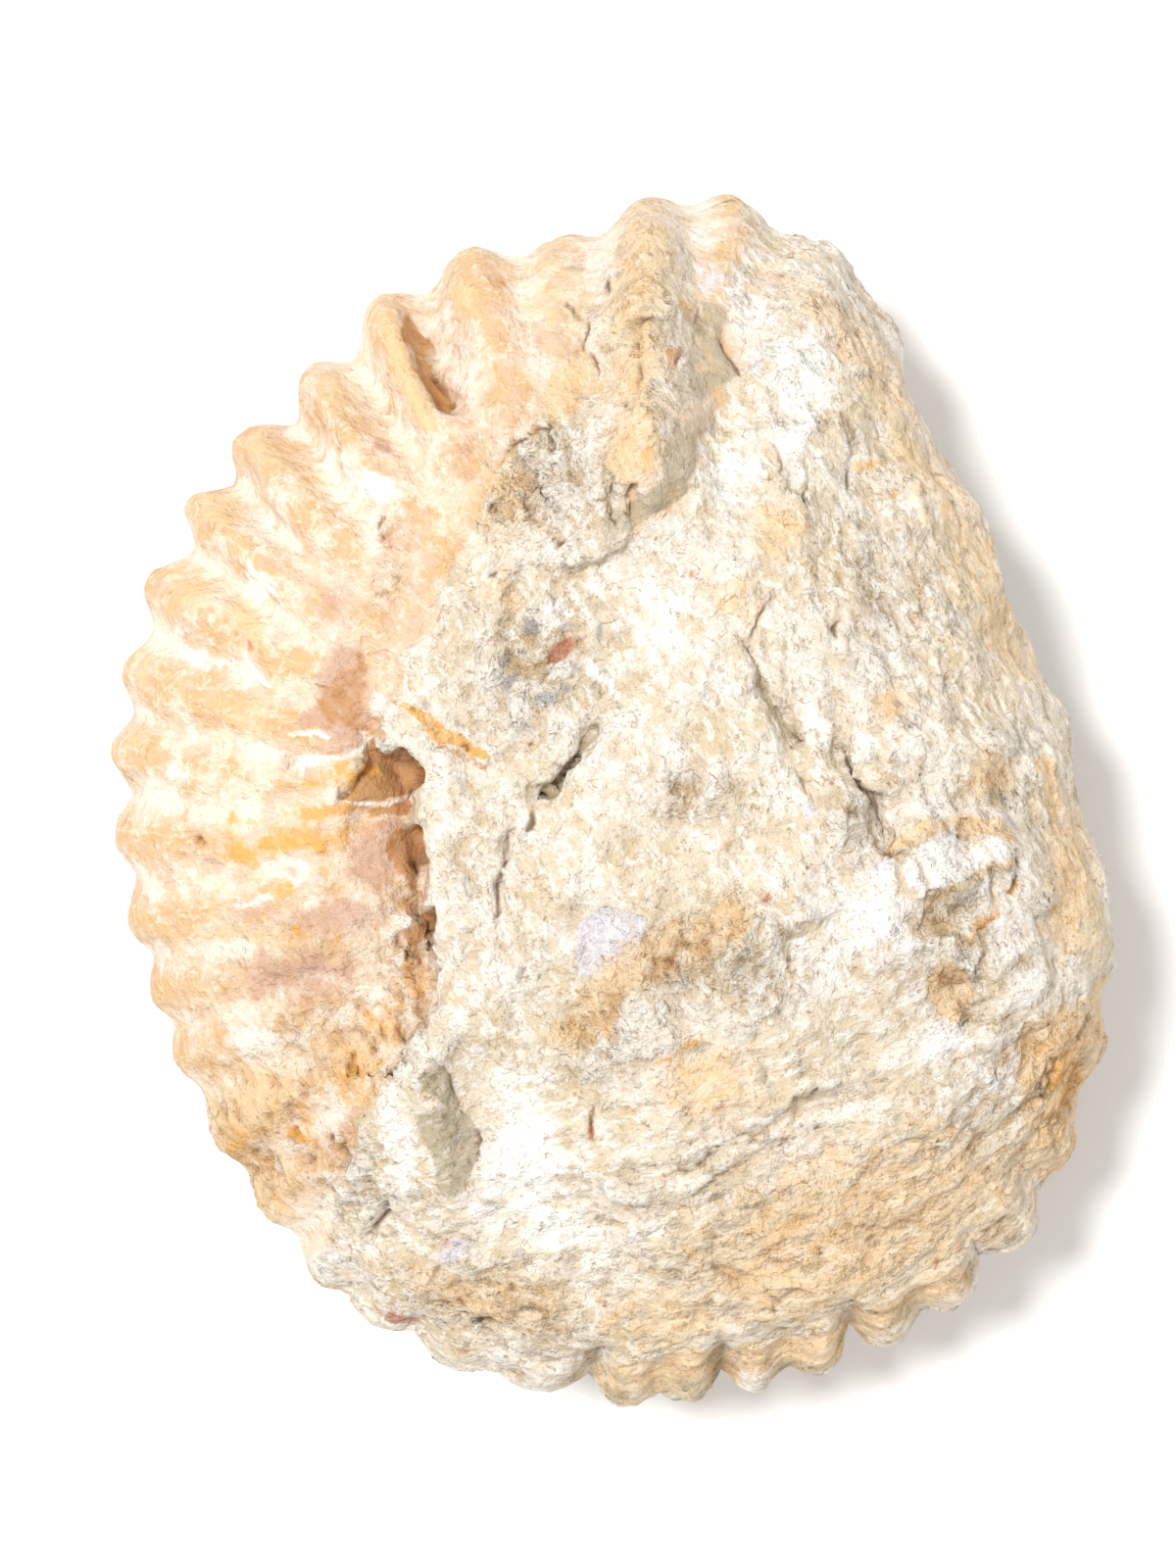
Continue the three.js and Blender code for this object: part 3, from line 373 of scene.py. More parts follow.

# ---- Stains, bleached places and painted shade (mm) ---------------------------------------------
# Each is a list of blots, (x, y, two radii, strength and, if turned, degrees), one of streaks, (path,
# reach, strength), and one of areas with a crisp edge, (outline, strength).
STAINS = {
    "crumbled": ([
        (-22.5, -22, 3, 7, 1), (-23, -12, 2.6, 4, 0.8), (-40, -36, 8, 9, 0.8, 30), (-31, -40, 6, 6, 0.7),
        (48, -32, 4, 7, 1), (-25, 25, 1.6, 6, 0.7, -10), (-47, -5, 3, 3, 0.6), (40, -34, 7, 5, 0.4),
        (-27.5, -27, 3, 3, 0.9),
    ], [], []),
    "tan": ([
        (26, -47, 24, 11, 0.85, 18), (-30, -28, 5, 7, 0.75, 20), (-40, -42, 5, 7, 0.8, 40),
        (36, -12.5, 3, 2.6, 0.6), (50, -9, 3.6, 9, 0.9), (14, 21.5, 3.6, 3.4, 0.5), (17, 29, 4, 4, 0.8),
        (10, -30, 6, 4.4, 0.9, 15), (29.5, 10.4, 2.6, 2.2, 0.9), (-12, 32, 7, 6, 0.7, 40),
        (-44, -8, 9, 12, 0.42), (-40, -33, 7, 6, 0.85, 30), (-14, -55, 12, 4, 0.8, -15),
        (5, -57, 14, 5, 0.7), (-5.4, -25, 4, 2, 0.6), (41, 2.6, 3.4, 3.4, 0.9),
        (-47.5, 23, 4, 3, 0.8, -30), (-40.6, 19.4, 3.4, 2.4, 0.8, -25), (-41, 9, 3, 4, 0.5),
        (-38.5, 38.6, 3.6, 2.6, 0.8, -35), (-31, 45.2, 3, 1.8, 0.8, -35), (-34, 34.8, 3, 2.6, 0.6, -40),
        (-44, 31.6, 3, 2.2, 0.9, -35), (-12.6, 22.4, 3.6, 2.6, 0.6), (-52.6, 14.4, 1.6, 2, 0.9),
        (-53.4, 6.6, 1.8, 1.6, 0.7), (33, -35, 3.6, 2, 0.6), (17, -44.8, 5, 1.6, 0.7), (7, 52, 4, 5, 0.4),
        (-8, 54, 5, 3, 0.7), (-10, 58.6, 3, 1.4, 0.6), (-17, 55, 2, 4, 0.7),
    ], [
        ([(12, -13), (-1, -20), (-4, -25)], 2.6, 1), ([(22, 54), (30, 44), (36, 33), (45, 15)], 4, 0.65),
        ([(3, 62), (1.4, 37)], 3.4, 0.8), ([(-25.2, 53), (-24.4, 49), (-20.8, 41)], 1.1, 1),
        ([(0, -64.4), (12, -63.6), (24, -61), (37, -53)], 2.6, 0.9),
        ([(8, -39.4), (20, -34.4)], 1.2, 0.5), ([(-46, -14.6), (-38, -15), (-30, -18)], 1.4, 0.7),
        ([(-44, -22), (-37, -21.6), (-31, -20)], 1.6, 0.5), ([(46.6, 4), (48, 0), (49, -6)], 1.2, 0.8),
    ], [
        ([(28.2, -6), (28.8, -4.8), (32.2, -2.1), (38.4, -1.4), (40.4, -1.8), (42.6, -3.2), (43.4, -5),
          (42, -5.2), (39.6, -3.8), (36, -3), (32, -5.2)], 0.8),
        ([(34, -10.8), (36, -9.2), (42.8, -6), (43.2, -7), (36, -10.4), (35.2, -12), (34, -12.6)], 0.8),
        ([(-8, 46.6), (-5, 47.6), (-3, 47.2), (-2.4, 46.4), (-3.8, 45), (-4.2, 42), (-7.4, 40.4),
          (-8.4, 42)], 1),
        ([(6.2, 54.6), (7.8, 54.6), (7.9, 52.1), (6.2, 52.6)], 1),
        ([(10.2, 22.6), (13.4, 24), (15.9, 23), (15.6, 20.6), (13.6, 18.2), (12, 19.6),
          (10.6, 19.8)], 0.6),
        ([(45.6, -27), (48, -25), (51, -24.6), (53, -26), (53.4, -28), (50.6, -33), (50, -36),
          (48.6, -39), (46.4, -39.8), (45.4, -38), (46, -34)], 1),
        ([(44, -24), (60, -18), (62, -34), (50, -44), (45, -40)], 0.75),
        ([(34, -17.4), (37.4, -17.6), (38.6, -19.6), (38.4, -22), (39.2, -24.4), (36.4, -25),
          (34.4, -22.6)], 0.8),
    ]),
    "orange": ([
        (-27, 3, 0.9, 0.7, 1), (28.8, -5.6, 0.8, 0.6, 1), (42.9, -9.4, 0.5, 0.7, 1),
        (-22.6, -19, 2, 3, 0.7), (-25, -24, 3, 3, 0.6), (-29, -31, 3, 4, 0.6, 20),
        (-35.6, -36, 3, 2.6, 0.55, 30), (-42, -38, 2.6, 3, 0.6, 30), (-32, -1, 5, 1.4, 0.75),
        (-29.8, 2.2, 2, 1.8, 0.7), (-33, 2, 4, 1.2, 0.5, 15), (-37, -10, 2.4, 1, 0.8, 10),
        (-35.4, -14.4, 0.7, 0.5, 1), (4.6, -27.6, 2, 0.9, 0.6, 20), (7.4, -26.3, 1.4, 0.5, 0.8, 10),
        (28, 36.8, 2, 0.9, 0.7, 15), (30.6, 33.4, 0.7, 0.7, 0.9), (48, -38, 1.8, 2, 0.4),
        (26, -22, 5, 2, 0.35), (49.6, -31, 4.4, 9, 0.62), (-1, -25, 1, 0.9, 0.6), (-5, -53, 2, 1, 0.4),
        (-40.4, -2.4, 3, 1, 0.6),
    ], [
        ([(-42, -5.4), (-30.4, -4.2)], 2, 0.7), ([(38, -15.4), (39, -13.6), (41, -12.2)], 0.9, 0.7),
    ], [
        ([(-23.9, 11.2), (-21.9, 10.5), (-13.8, 4.4), (-15.4, 4.6), (-20, 7.2)], 1.2),
        ([(4.8, 42.2), (3.8, 41), (3.4, 38.6), (2.4, 37.4), (2.2, 34.2), (3, 34.4)], 0.5),
    ]),
    "red": ([
        (8.4, 23.8, 0.4, 0.5, 0.9, 20), (4.1, 5.6, 0.5, 0.3, 0.7, -40), (-11.2, -63.6, 1.1, 0.4, 1, -15),
        (-24, -57.4, 2, 0.8, 1, -25), (22.3, 1.4, 0.3, 0.5, 0.7, 20), (5.1, -40, 0.4, 0.3, 0.9),
        (-17, -61.1, 1, 0.3, 0.8), (16, -11, 0.6, 0.6, 0.7), (-19.4, -48.8, 0.8, 0.4, 0.6, 20),
        (-4.5, 16, 1.4, 0.8, 0.45, 10), (-6.6, -64.8, 1.4, 0.3, 0.7),
    ], [
        ([(-2.9, -34.6), (-3.1, -36.6)], 0.25, 0.8),
        ([(-43, 20), (-42.6, 18.6), (-39.8, 16.9)], 0.5, 0.45),
    ], [
        ([(-9.2, 16.3), (-7.8, 14.4), (-4.6, 15.8), (-3, 17.2), (-5, 17.7)], 0.85),
    ]),
    "brown": ([
        (-44.6, -29, 1.6, 1.2, 0.5), (-40, -40, 3, 2.4, 0.6), (42.4, -28.6, 1, 1.2, 0.8),
        (-46.4, -4.4, 1.2, 0.8, 0.9, -30), (11.4, -5, 1, 1, 0.7), (5.8, 45.5, 0.5, 1, 0.8),
        (-13, 57, 1.4, 0.8, 0.7, -30), (-25, 28, 1.4, 2.4, 0.7), (-32, -38, 1.4, 1, 0.8),
        (-35.6, -37.6, 1, 1, 0.7), (-26.5, -56.4, 1.4, 0.6, 0.6, -20), (22.6, 55, 1, 2.4, 0.4),
        (7.6, -15.4, 3.4, 1.4, 0.5, 10), (6, -18.4, 1.6, 0.8, 0.6), (48.2, -30, 1.4, 3, 0.5),
        (17.2, -20.6, 0.9, 1.2, 0.6), (-17, -55.2, 0.8, 1, 0.7),
    ], [
        ([(-19.4, 23.5), (-15.6, 29.2), (-13.3, 35.5), (-8.8, 39.6)], 0.5, 0.4),
        ([(5, -40), (10, -38), (15.5, -35)], 0.3, 0.5), ([(10, -33.6), (14, -32.2)], 0.5, 0.7),
        ([(-29.2, -0.9), (-23, -1.2)], 0.6, 0.7), ([(-21.4, 8), (-18.4, 5.8), (-14.6, 3.8)], 0.35, 0.8),
        ([(-22.6, -8.4), (-22, -12), (-21.4, -23)], 0.9, 0.55),
    ], [
        ([(-33.2, 12.2), (-31.2, 12.3), (-30.8, 13.8), (-29, 14.3), (-28.4, 15.8), (-28.5, 17.8),
          (-28, 17.7), (-27.3, 13.4), (-27.9, 12), (-27.8, 10.2), (-26.8, 8.7), (-25.7, 8.4),
          (-25.4, 6.2), (-32, 8.2), (-33.4, 10.8)], 0.6),
        ([(-30.4, -0.1), (-29, 1.2), (-27.6, 4.2), (-27.4, 5.6), (-28, 6.9), (-26.4, 6.3), (-25.4, 5.2),
          (-23, 4.6), (-22, 3.3), (-22.8, 0.1), (-25, 0.4), (-29.2, -0.3)], 1),
        ([(-28.4, -0.5), (-22.6, -0.4), (-22.5, -1.9), (-27.8, -1.6)], 0.9),
        ([(-24.6, -3.4), (-22.4, -3), (-21.4, -4.4), (-21.8, -8), (-24, -8.2), (-25.4, -6)], 1),
        ([(-23.4, -14.2), (-21.6, -13.6), (-20.3, -12.2), (-20, -14.2), (-20.8, -15.6),
          (-22.4, -16.2)], 1.1),
        (RIB_HOLLOW, 0.9), ([(5.2, 49), (6.4, 48.8), (6.5, 47), (5.2, 47)], 0.9),
        ([(34.4, -17.8), (37, -18), (38, -19.6), (37.6, -22), (38.6, -24), (37.4, -24.6),
          (35, -22.6)], 0.4),
    ]),
    "mauve": ([
        (-30, 11, 2.6, 5.4, 1.2), (-35, -19, 8, 3.4, 0.8, 8), (-40, -12, 5, 1.6, 0.6, 5),
        (-31, -13, 6, 2.4, 0.8, 8), (-30.6, -18.6, 4.4, 1.4, 0.8, 15), (-26.4, -6.4, 3.2, 3.4, 1),
        (-25, -2.8, 2.4, 1, 0.8), (-31, 21, 3, 4, 0.6), (17.4, 57.6, 1.8, 2, 0.6), (-26, 38.8, 0.9, 1, 1),
        (-8.6, 50, 0.8, 1.2, 0.8), (-36.4, -8, 3, 0.8, 0.6, 5), (-30, -25.4, 1.8, 1.4, 0.7),
        (-33.6, -20.6, 2.2, 0.8, 0.8, 20),
    ], [
        ([(-18.6, 52), (-17.4, 44), (-17, 36)], 1.8, 0.5), ([(-22, 30), (-22, 18)], 2.4, 0.4),
        ([(-29.4, -1.3), (-23.4, 0.5)], 0.5, 0.4),
    ], [
        ([(-35.4, 8.2), (-34.6, 9.4), (-33.4, 9.9), (-32, 9.8), (-32, 7.3), (-34.6, 7.2)], 0.9),
        ([(-9.4, 50.6), (-8, 51.4), (-5.6, 51), (-4, 50), (-4.2, 48.4), (-6.6, 48), (-9, 48.8)], 0.5),
    ]),
    "grey": ([
        (-8, 34, 4, 4.6, 0.6), (25, -3, 1.6, 2.4, 0.5), (6.4, -19.8, 2.4, 1.6, 0.7), (14, -18, 3, 3, 0.7),
        (41.4, -23.6, 1.2, 4.4, 0.5), (-2, -30.4, 2.4, 0.9, 0.8), (-15, -8, 4, 12, 0.35),
        (1, -5, 3, 2, 0.5), (7, -22, 4, 3, 0.5), (-14, -36, 1.6, 3, 0.4), (25, 16, 4, 6, 0.5, 30),
        (29, 20.6, 3, 3, 0.5), (18.6, 35.6, 1.6, 3.4, 0.7), (27, 29, 1.6, 2.6, 0.8),
        (31, 28.6, 2, 2.4, 0.6), (23, 45.4, 0.8, 2, 0.8, -10), (19, 50.4, 1, 2, 0.8),
        (-6, -23.6, 3, 3, 0.4), (43, -34.6, 2.4, 3, 0.6), (-17, 20.6, 3, 3, 0.6), (-10, 3, 5, 4, 0.3),
        (42.6, -4, 1.6, 3, 0.6), (39, -47, 2.6, 2.4, 0.6), (34.4, -48, 2, 1.6, 0.6),
        (10.4, -44, 1, 3, 0.6), (-2.4, 1, 3, 3, 0.4), (-15, -26, 4, 2, 0.4), (51.6, -20, 1.2, 4, 0.6),
    ], [
        ([(-2.7, 16), (0.2, 10)], 0.5, 1), ([(22.4, 13.6), (22.4, 8.6)], 0.5, 0.9),
        ([(24.6, 13.4), (25, 15.6)], 0.5, 0.9), ([(35.6, 14), (36, 11), (38, 8)], 0.8, 0.7),
        ([(-25.6, -8), (-36, -8.2)], 0.6, 0.4),
    ], [
        ([(24.2, -0.8), (25, -1), (25.9, -2.4), (26, -4.2), (26.8, -5.2), (24.2, -5.4), (23.8, -3)], 1.1),
        ([(42.6, 6.2), (43.6, 8.4), (47.8, 7.8), (48, 5.8), (43, 4.4)], 1),
        ([(12, -24), (14, -24.2), (14.7, -25.4), (14.2, -26.6), (12.6, -26.4), (11.4, -25.2)], 0.9),
        ([(8, -1), (9.7, -1.8), (9, -3), (8, -2.8)], 0.8),
    ]),
    # Olive-grey on the stone, and painted shade on the grooves, the chip scar, the ridge's right side and
    # other slopes facing away from the light.
    "olive_and_painted_shade": ([
        (7.6, 1.4, 1.2, 1.6, 0.6), (10.4, 1.4, 1.4, 1, 0.4), (41, 0.4, 2, 1.6, 0.7),
        (-1, -29.4, 1.6, 1, 0.6), (15.6, -29.6, 1, 1.6, 0.8), (35.4, -13.4, 1.4, 1.6, 0.6),
        (39, -19, 0.8, 1.2, 0.8), (37.6, -23, 1, 1.4, 0.7), (42, -18.4, 0.8, 1.4, 0.6, -30),
        (-5, 58, 2, 0.5, 0.5, -20), (6, 58, 2, 2.6, 0.5), (-43.6, -41, 2, 1.4, 0.6, 40),
        (28.6, 29.6, 0.8, 1, 0.6),
    ], [
        ([(-9, -0.6), (-10, -3.2)], 0.35, 1), ([(44, -2), (46.6, -5)], 0.8, 0.6),
        ([(-27.4, 5.9), (-28.4, 2.2), (-29.8, 0.2)], 0.4, 0.8),
        ([(9.6, -21.8), (12.6, -23.6)], 0.35, 0.6), ([(23.6, -37.8), (26.6, -37.8)], 0.3, 0.6),
    ], [
        (GROOVE, 1.3), (LEFT_GROOVE, 1.4),
        ([(-20.2, -27.6), (-18.4, -29.8), (-17.3, -32.2), (-17.8, -33.2), (-19.4, -33.4), (-21, -31.6),
          (-21.6, -29.4)], 1),
        ([(-21.6, -34), (-17, -32.8), (-15.6, -34), (-15, -38.4), (-17, -42.2), (-18.8, -43.4),
          (-21.6, -37)], 0.95),
        ([(6.6, 46.8), (8.8, 54.8), (11.6, 54), (12, 50.6), (13.4, 46.2), (12.4, 45), (9.4, 43.6),
          (7.4, 42), (6, 44)], 0.68),
        ([(8, 41), (7.9, 36.8), (7.2, 34), (7.9, 33), (-1.6, 27), (-1.9, 29), (-0.6, 31), (4.2, 34.4),
          (4.4, 37.6), (5.8, 40.6)], 0.66),
        ([(14.6, -16.4), (16, -15.4), (21.4, -13.8), (22.4, -13.2), (22.4, -12.2), (21.4, -13),
          (16.6, -14.4)], 0.9),
        ([(12.8, -17), (13.9, -15.6), (13.8, -17.4), (12, -18.5)], 0.7),
        ([(36.2, -9.4), (38.4, -9.2), (39.6, -10), (36.6, -12.4), (35.4, -14.4), (34, -13),
          (34.4, -11)], 0.5),
    ]),
    # Painted shade on the rib ends and in the notches along the lower rim, and in the rib hollow.
    "painted_shade": ([
        (42.6, -46.6, 1.4, 0.7, 0.8, 20), (-23, -58, 1.2, 0.5, 0.9, -15), (29, -56.8, 2.4, 0.7, 0.5, 10),
        (7.6, -65.4, 3, 1.4, 0.7), (18.6, -63.8, 4, 1.4, 0.65, 5), (32.6, -57.2, 3.4, 1.3, 0.7, 20),
        (39, -52.4, 2.6, 1.3, 0.7, 35), (0, -66.4, 3, 1.3, 0.7),
    ], [
        ([(-22, 52), (-18.6, 43)], 0.7, 1), ([(11.4, -58.4), (11.4, -66)], 0.8, 0.8),
        ([(-5, -61), (-4.8, -66)], 0.8, 0.7),
    ], []),
    "lilac": ([
        (-18, -49.4, 2.6, 0.9, 1, 20), (20.2, -1.6, 0.9, 1.2, 0.8), (27, -17, 4, 3, 0.5),
        (-2, -35, 1.6, 1.6, 0.4), (22, -13.6, 4, 3, 0.4), (11, 57.2, 3.8, 2.8, 0.6),
        (15, 47.8, 1.2, 2.2, 0.7), (30.6, -15.4, 1.6, 0.6, 0.9, -20), (28.4, -7, 1.6, 1, 0.8, 20),
        (20, -8.8, 1, 1, 0.6), (-2, -8.6, 2.4, 2, 0.4), (-31.6, -51, 1.4, 1.6, 0.6),
        (-33, -8.6, 2, 0.8, 0.6),
    ], [
        ([(26.6, -8.4), (27.6, -7)], 0.5, 0.6),
    ], [
        (LILAC_FACET, 1.3),
    ]),
    "blue": ([
        (-12.1, 15.2, 0.9, 1.4, 1), (-9.4, 19, 1.5, 0.8, 1, 10), (-11.4, 12.5, 1.2, 0.7, 1, 30),
        (-8, 10.3, 2.2, 0.8, 0.9), (-5.6, 11.5, 1, 0.8, 0.9), (-4.7, 14, 0.7, 1.2, 0.9),
        (-10.3, 15.9, 0.7, 0.7, 0.9), (-5.8, 18.7, 1.2, 0.5, 0.8), (-2.4, 17.9, 0.5, 1.2, 0.9, 15),
        (-8, 13.6, 2, 1.6, 0.4), (-9.4, 18, 0.8, 0.4, 0.8), (-12.6, 17.6, 0.8, 0.5, 0.8, 30),
        (-11, 7.4, 2, 0.8, 0.6), (-1.6, 13.4, 0.4, 1, 0.6), (-12.8, 19.4, 0.6, 0.9, 0.6),
    ], [
        ([(-13.2, 13.6), (-12, 12.6)], 0.5, 0.8),
    ], []),
    "white": ([
        (-38, 30, 14, 3, 0.5, 55), (-46, 20, 6, 3, 0.5, 20), (20, 45, 3.4, 8, 1, -10),
        (27, -13, 6, 4, 0.9), (5, 17, 5, 8, 0.7), (-10, -39, 5, 9, 0.9), (-24, -37, 2.6, 7, 0.8),
        (-9, -31, 3, 2, 0.8), (-39.4, 23.4, 2.2, 1.6, 1), (-26, 33.8, 2.2, 1.8, 1, -30),
        (-43.4, 15, 1.8, 0.5, 1), (-47, 15.6, 3, 1.6, 0.6, -20), (-48.6, 3, 2.4, 2, 0.7),
        (-34, 4, 3, 1.2, 0.8), (-26.4, 10.6, 0.9, 1.4, 1.1, 20), (-40, -26.6, 3.6, 2, 0.8, 10),
        (44, -19.4, 3, 1.4, 0.8, 20), (21, 8, 1.6, 4, 0.7, 20), (-24, -42, 3, 3, 0.6),
        (-34.6, -6.9, 0.6, 0.9, 1), (-22.8, -12.6, 1.6, 1, 0.9), (14, 54, 3, 3, 0.7),
        (-6.4, 21, 1.4, 2, 0.7), (36, -26, 4, 3, 0.9), (-7, -47, 8, 3.4, 0.75, -10), (42, -14, 4, 4, 0.6),
        (26, -33, 3, 2, 0.6), (-15, -44.6, 3, 1.4, 0.8), (38, 8, 4, 5, 0.4), (12.6, 36, 3.6, 6, 0.8),
        (41, -9, 1.6, 1, 0.9, 20), (39.4, -21, 0.9, 2, 0.4, -20), (-22, 25, 1.4, 6, 0.5),
        (20, -10.6, 3, 1.2, 0.6), (23, -19, 3, 3, 0.6), (17.6, 1, 2, 3, 0.5), (28, -8.6, 3, 1, 0.6, 10),
    ], [
        ([(-3.3, 14.7), (-0.3, 11)], 0.4, 1.3), ([(-30, -0.3), (-23, -0.3)], 0.22, 1.3),
        ([(-36, 35), (-31, 37.6), (-26.6, 32)], 0.8, 0.6), ([(-42, -12), (-39, -11), (-35, -9)], 0.45, 1),
        ([(-30.4, 8), (-28.4, 7.2), (-27.4, 6)], 0.5, 1),
        ([(-40.8, 16), (-40, 14.4), (-38.4, 12.6)], 0.25, 1), ([(-33, 3.8), (-28.2, 5.4)], 0.7, 0.8),
        ([(-30, -15.6), (-23.6, -13)], 0.6, 0.5), ([(-36, 7), (-33, 6.9), (-30.4, 7.6)], 0.3, 0.9),
    ], [
        ([(32, -5), (36, -3.6), (40, -4.4), (43, -6), (33, -10), (31, -9), (30.5, -7)], 1.1),
        ([(-22.6, 50.2), (-22, 50.2), (-22, 48.2)], 1.4),
    ]),
}

# ---- Mesh density -------------------------------------------------------------------------------
CELLS = 128                # squares along each edge of the cube that is blown up into the stone
RIM_POLAR = 115            # degrees from the top pole: past the middle, so the top gets more cells


# ---- Formulas -----------------------------------------------------------------------------------
def gauss(distance, reach):
    return np.exp(-np.square(distance / reach))


def smoothstep(value, low, high):
    t = np.clip((value - low) / (high - low), 0, 1)
    return t * t * (3 - 2 * t)


def lerp(a, b, t):
    return a + (b - a) * t


def turn_between(angle, centre):
    return np.mod(angle - centre + 180, 360) - 180


def round_curve(knots, degrees):
    """A smooth closed curve through (degrees, value) knots, read at an array of angles."""
    first = knots[0][0]
    wrapped = knots[-2:], knots, knots[:2]
    at = np.array([a + 360 * (turn - 1) for turn, part in enumerate(wrapped) for a, _ in part], float)
    value = np.array([v for part in wrapped for _, v in part], float)
    slope = np.gradient(value)
    slope[1:-1] = (value[2:] - value[:-2]) / (at[2:] - at[:-2])
    angle = first + np.mod(degrees - first, 360)
    i = np.clip(np.searchsorted(at, angle, side="right") - 1, 1, len(at) - 3)
    span = at[i + 1] - at[i]
    t = (angle - at[i]) / span
    t2, t3 = t * t, t * t * t
    return (
        value[i] * (2 * t3 - 3 * t2 + 1) + value[i + 1] * (3 * t2 - 2 * t3)
        + span * (slope[i] * (t3 - 2 * t2 + t) + slope[i + 1] * (t3 - t2))
    )


def nearest(path, x, y):
    """Distance to a path, the same signed plus on its left, how far past its ends, the share along."""
    distance = np.full(x.shape, np.inf)
    signed, past, along = np.zeros(x.shape), np.zeros(x.shape), np.zeros(x.shape)
    last = len(path) - 2
    for i, ((ax, ay), (bx, by)) in enumerate(zip(path, path[1:])):
        dx, dy = bx - ax, by - ay
        raw = ((x - ax) * dx + (y - ay) * dy) / (dx * dx + dy * dy)
        t = np.clip(raw, 0, 1)
        here = np.hypot(x - ax - t * dx, y - ay - t * dy)
        across = (dx * (y - ay) - dy * (x - ax)) / math.hypot(dx, dy)
        at_end = ((raw < 0) & (i == 0)) | ((raw > 1) & (i == last))
        closer = here < distance
        distance = np.where(closer, here, distance)
        signed = np.where(closer, np.where(at_end, across, np.where(across < 0, -here, here)), signed)
        past = np.where(closer, np.where(at_end, here, 0), past)
        along = np.where(closer, (i + t) / (last + 1), along)
    return distance, signed, past, along


# ---- Ribs ---------------------------------------------------------------------------------------
def rib_wave(angle):
    """+1 on a crest, -1 in a furrow, for an array of rim angles."""
    step = (CLEAR_CRESTS[0] + 360 - CLEAR_CRESTS[-1]) / (WORN_CRESTS + 1)
    worn = [CLEAR_CRESTS[-1] + step * (i + 1) for i in range(WORN_CRESTS)]
    crests = np.array(CLEAR_CRESTS + worn + [CLEAR_CRESTS[0] + 360], float)
    along = CLEAR_CRESTS[0] + np.mod(angle - CLEAR_CRESTS[0], 360)
    phase = np.interp(along, crests, np.arange(len(crests)))
    return 1 - 2 * np.abs(np.sin(math.pi * phase)) ** CREST_BREADTH


def nick_depth(angle):
    return sum(depth * gauss(turn_between(angle, at), NICK_WIDTH) for at, depth in NICKS)


def side_lumps(angle, z):
    worn = gauss(turn_between(angle, WORN_MIDDLE), WORN_REACH)
    lumps = (h * np.sin(angle / turn + z / climb + shift) for h, turn, climb, shift in SIDE_LUMPS)
    return worn * sum(lumps)


def side_normal(s, rise, radius, power):
    """Level and upright parts of the outward direction of a bulging side."""
    slope = rise * power * s ** (power - 1) / (2 * radius * np.sqrt(np.maximum(1e-4, 1 - s ** power)))
    size = np.hypot(slope, 1)
    return slope / size, 1 / size


# ---- Surfaces -----------------------------------------------------------------------------------
def swell(x, y):
    """Height of the slow swells of the broken matrix."""
    height = np.zeros(x.shape)
    for i in range(SWELLS):
        direction, wavelength = SWELL_TURN * i, SWELL_LENGTH - SWELL_SHORTER * i
        along = x * math.cos(direction) + y * math.sin(direction)
        phase = 2 * math.pi * along / wavelength + SWELL_SHIFT * i
        height += (SWELL_HEIGHT - SWELL_LOWER * i) * np.sin(phase)
    return height


def step_across(path, soft, fade, x, y):
    """1 on a path's left and 0 on its right, dying out away from it and past its ends."""
    distance, signed, past, _ = nearest(path, x, y)
    step = 0.5 + 0.5 * np.tanh(signed / (soft + SOFTER_PAST_END * past))
    return step * gauss(distance, fade) * gauss(past, fade / 2)


def gouge(path, width, x, y):
    """0 to 1: deepest along the path, upright on its left, sloping on its right, widening to its end."""
    _, signed, past, along = nearest(path, x, y)
    start_depth, start_width = GOUGE_START
    slope = np.clip(1 + signed / (start_width + width * along), 0, 1)
    wall = 1 - smoothstep(signed, 0, GOUGE_WALL)
    depth = lerp(start_depth, 1, along) * (1 - smoothstep(past, 0, GOUGE_END))
    return depth * np.where(signed < 0, slope, wall)


def details(x, y):
    """Height of the ridges, cliffs, knobs and grooves of the upper side."""
    height = np.zeros(x.shape)
    for path, reach, rise in CREASES.values():
        height += rise * gauss(nearest(path, x, y)[0], reach)
    for path, soft, rise, fade in CLIFFS.values():
        height += rise * step_across(path, soft, fade, x, y)
    for (cx, cy), (rx, ry), rise in LUMPS.values():
        height += rise * gauss(np.hypot((x - cx) / rx, (y - cy) / ry), 1)
    for path, width, depth in GOUGES.values():
        height -= depth * gouge(path, width, x, y)
    return height


def top_shape(x, y):
    """Height of the upper side before its rim rounds off, and 1 where matrix covers the shell."""
    ragged = named_noise("matrix edge", np.stack([x, y, 0 * x], 1))
    inside = nearest(MATRIX_EDGE, x, y)[1] + ragged
    dome = DOME_TOP - DOME_FALL * ((x - DOME_CENTRE[0]) ** 2 + (y - DOME_CENTRE[1]) ** 2)
    bare = gauss(y - GULLY_MIDDLE, GULLY_REACH)
    gully = GULLY_DEPTH * bare * gauss(np.minimum(0, inside), GULLY_WIDTH)
    cover = smoothstep(inside, -EDGE_SOFTNESS, EDGE_SOFTNESS)
    return dome + cover * (MATRIX_STEP * bare + swell(x, y)) - (1 - cover) * gully, cover


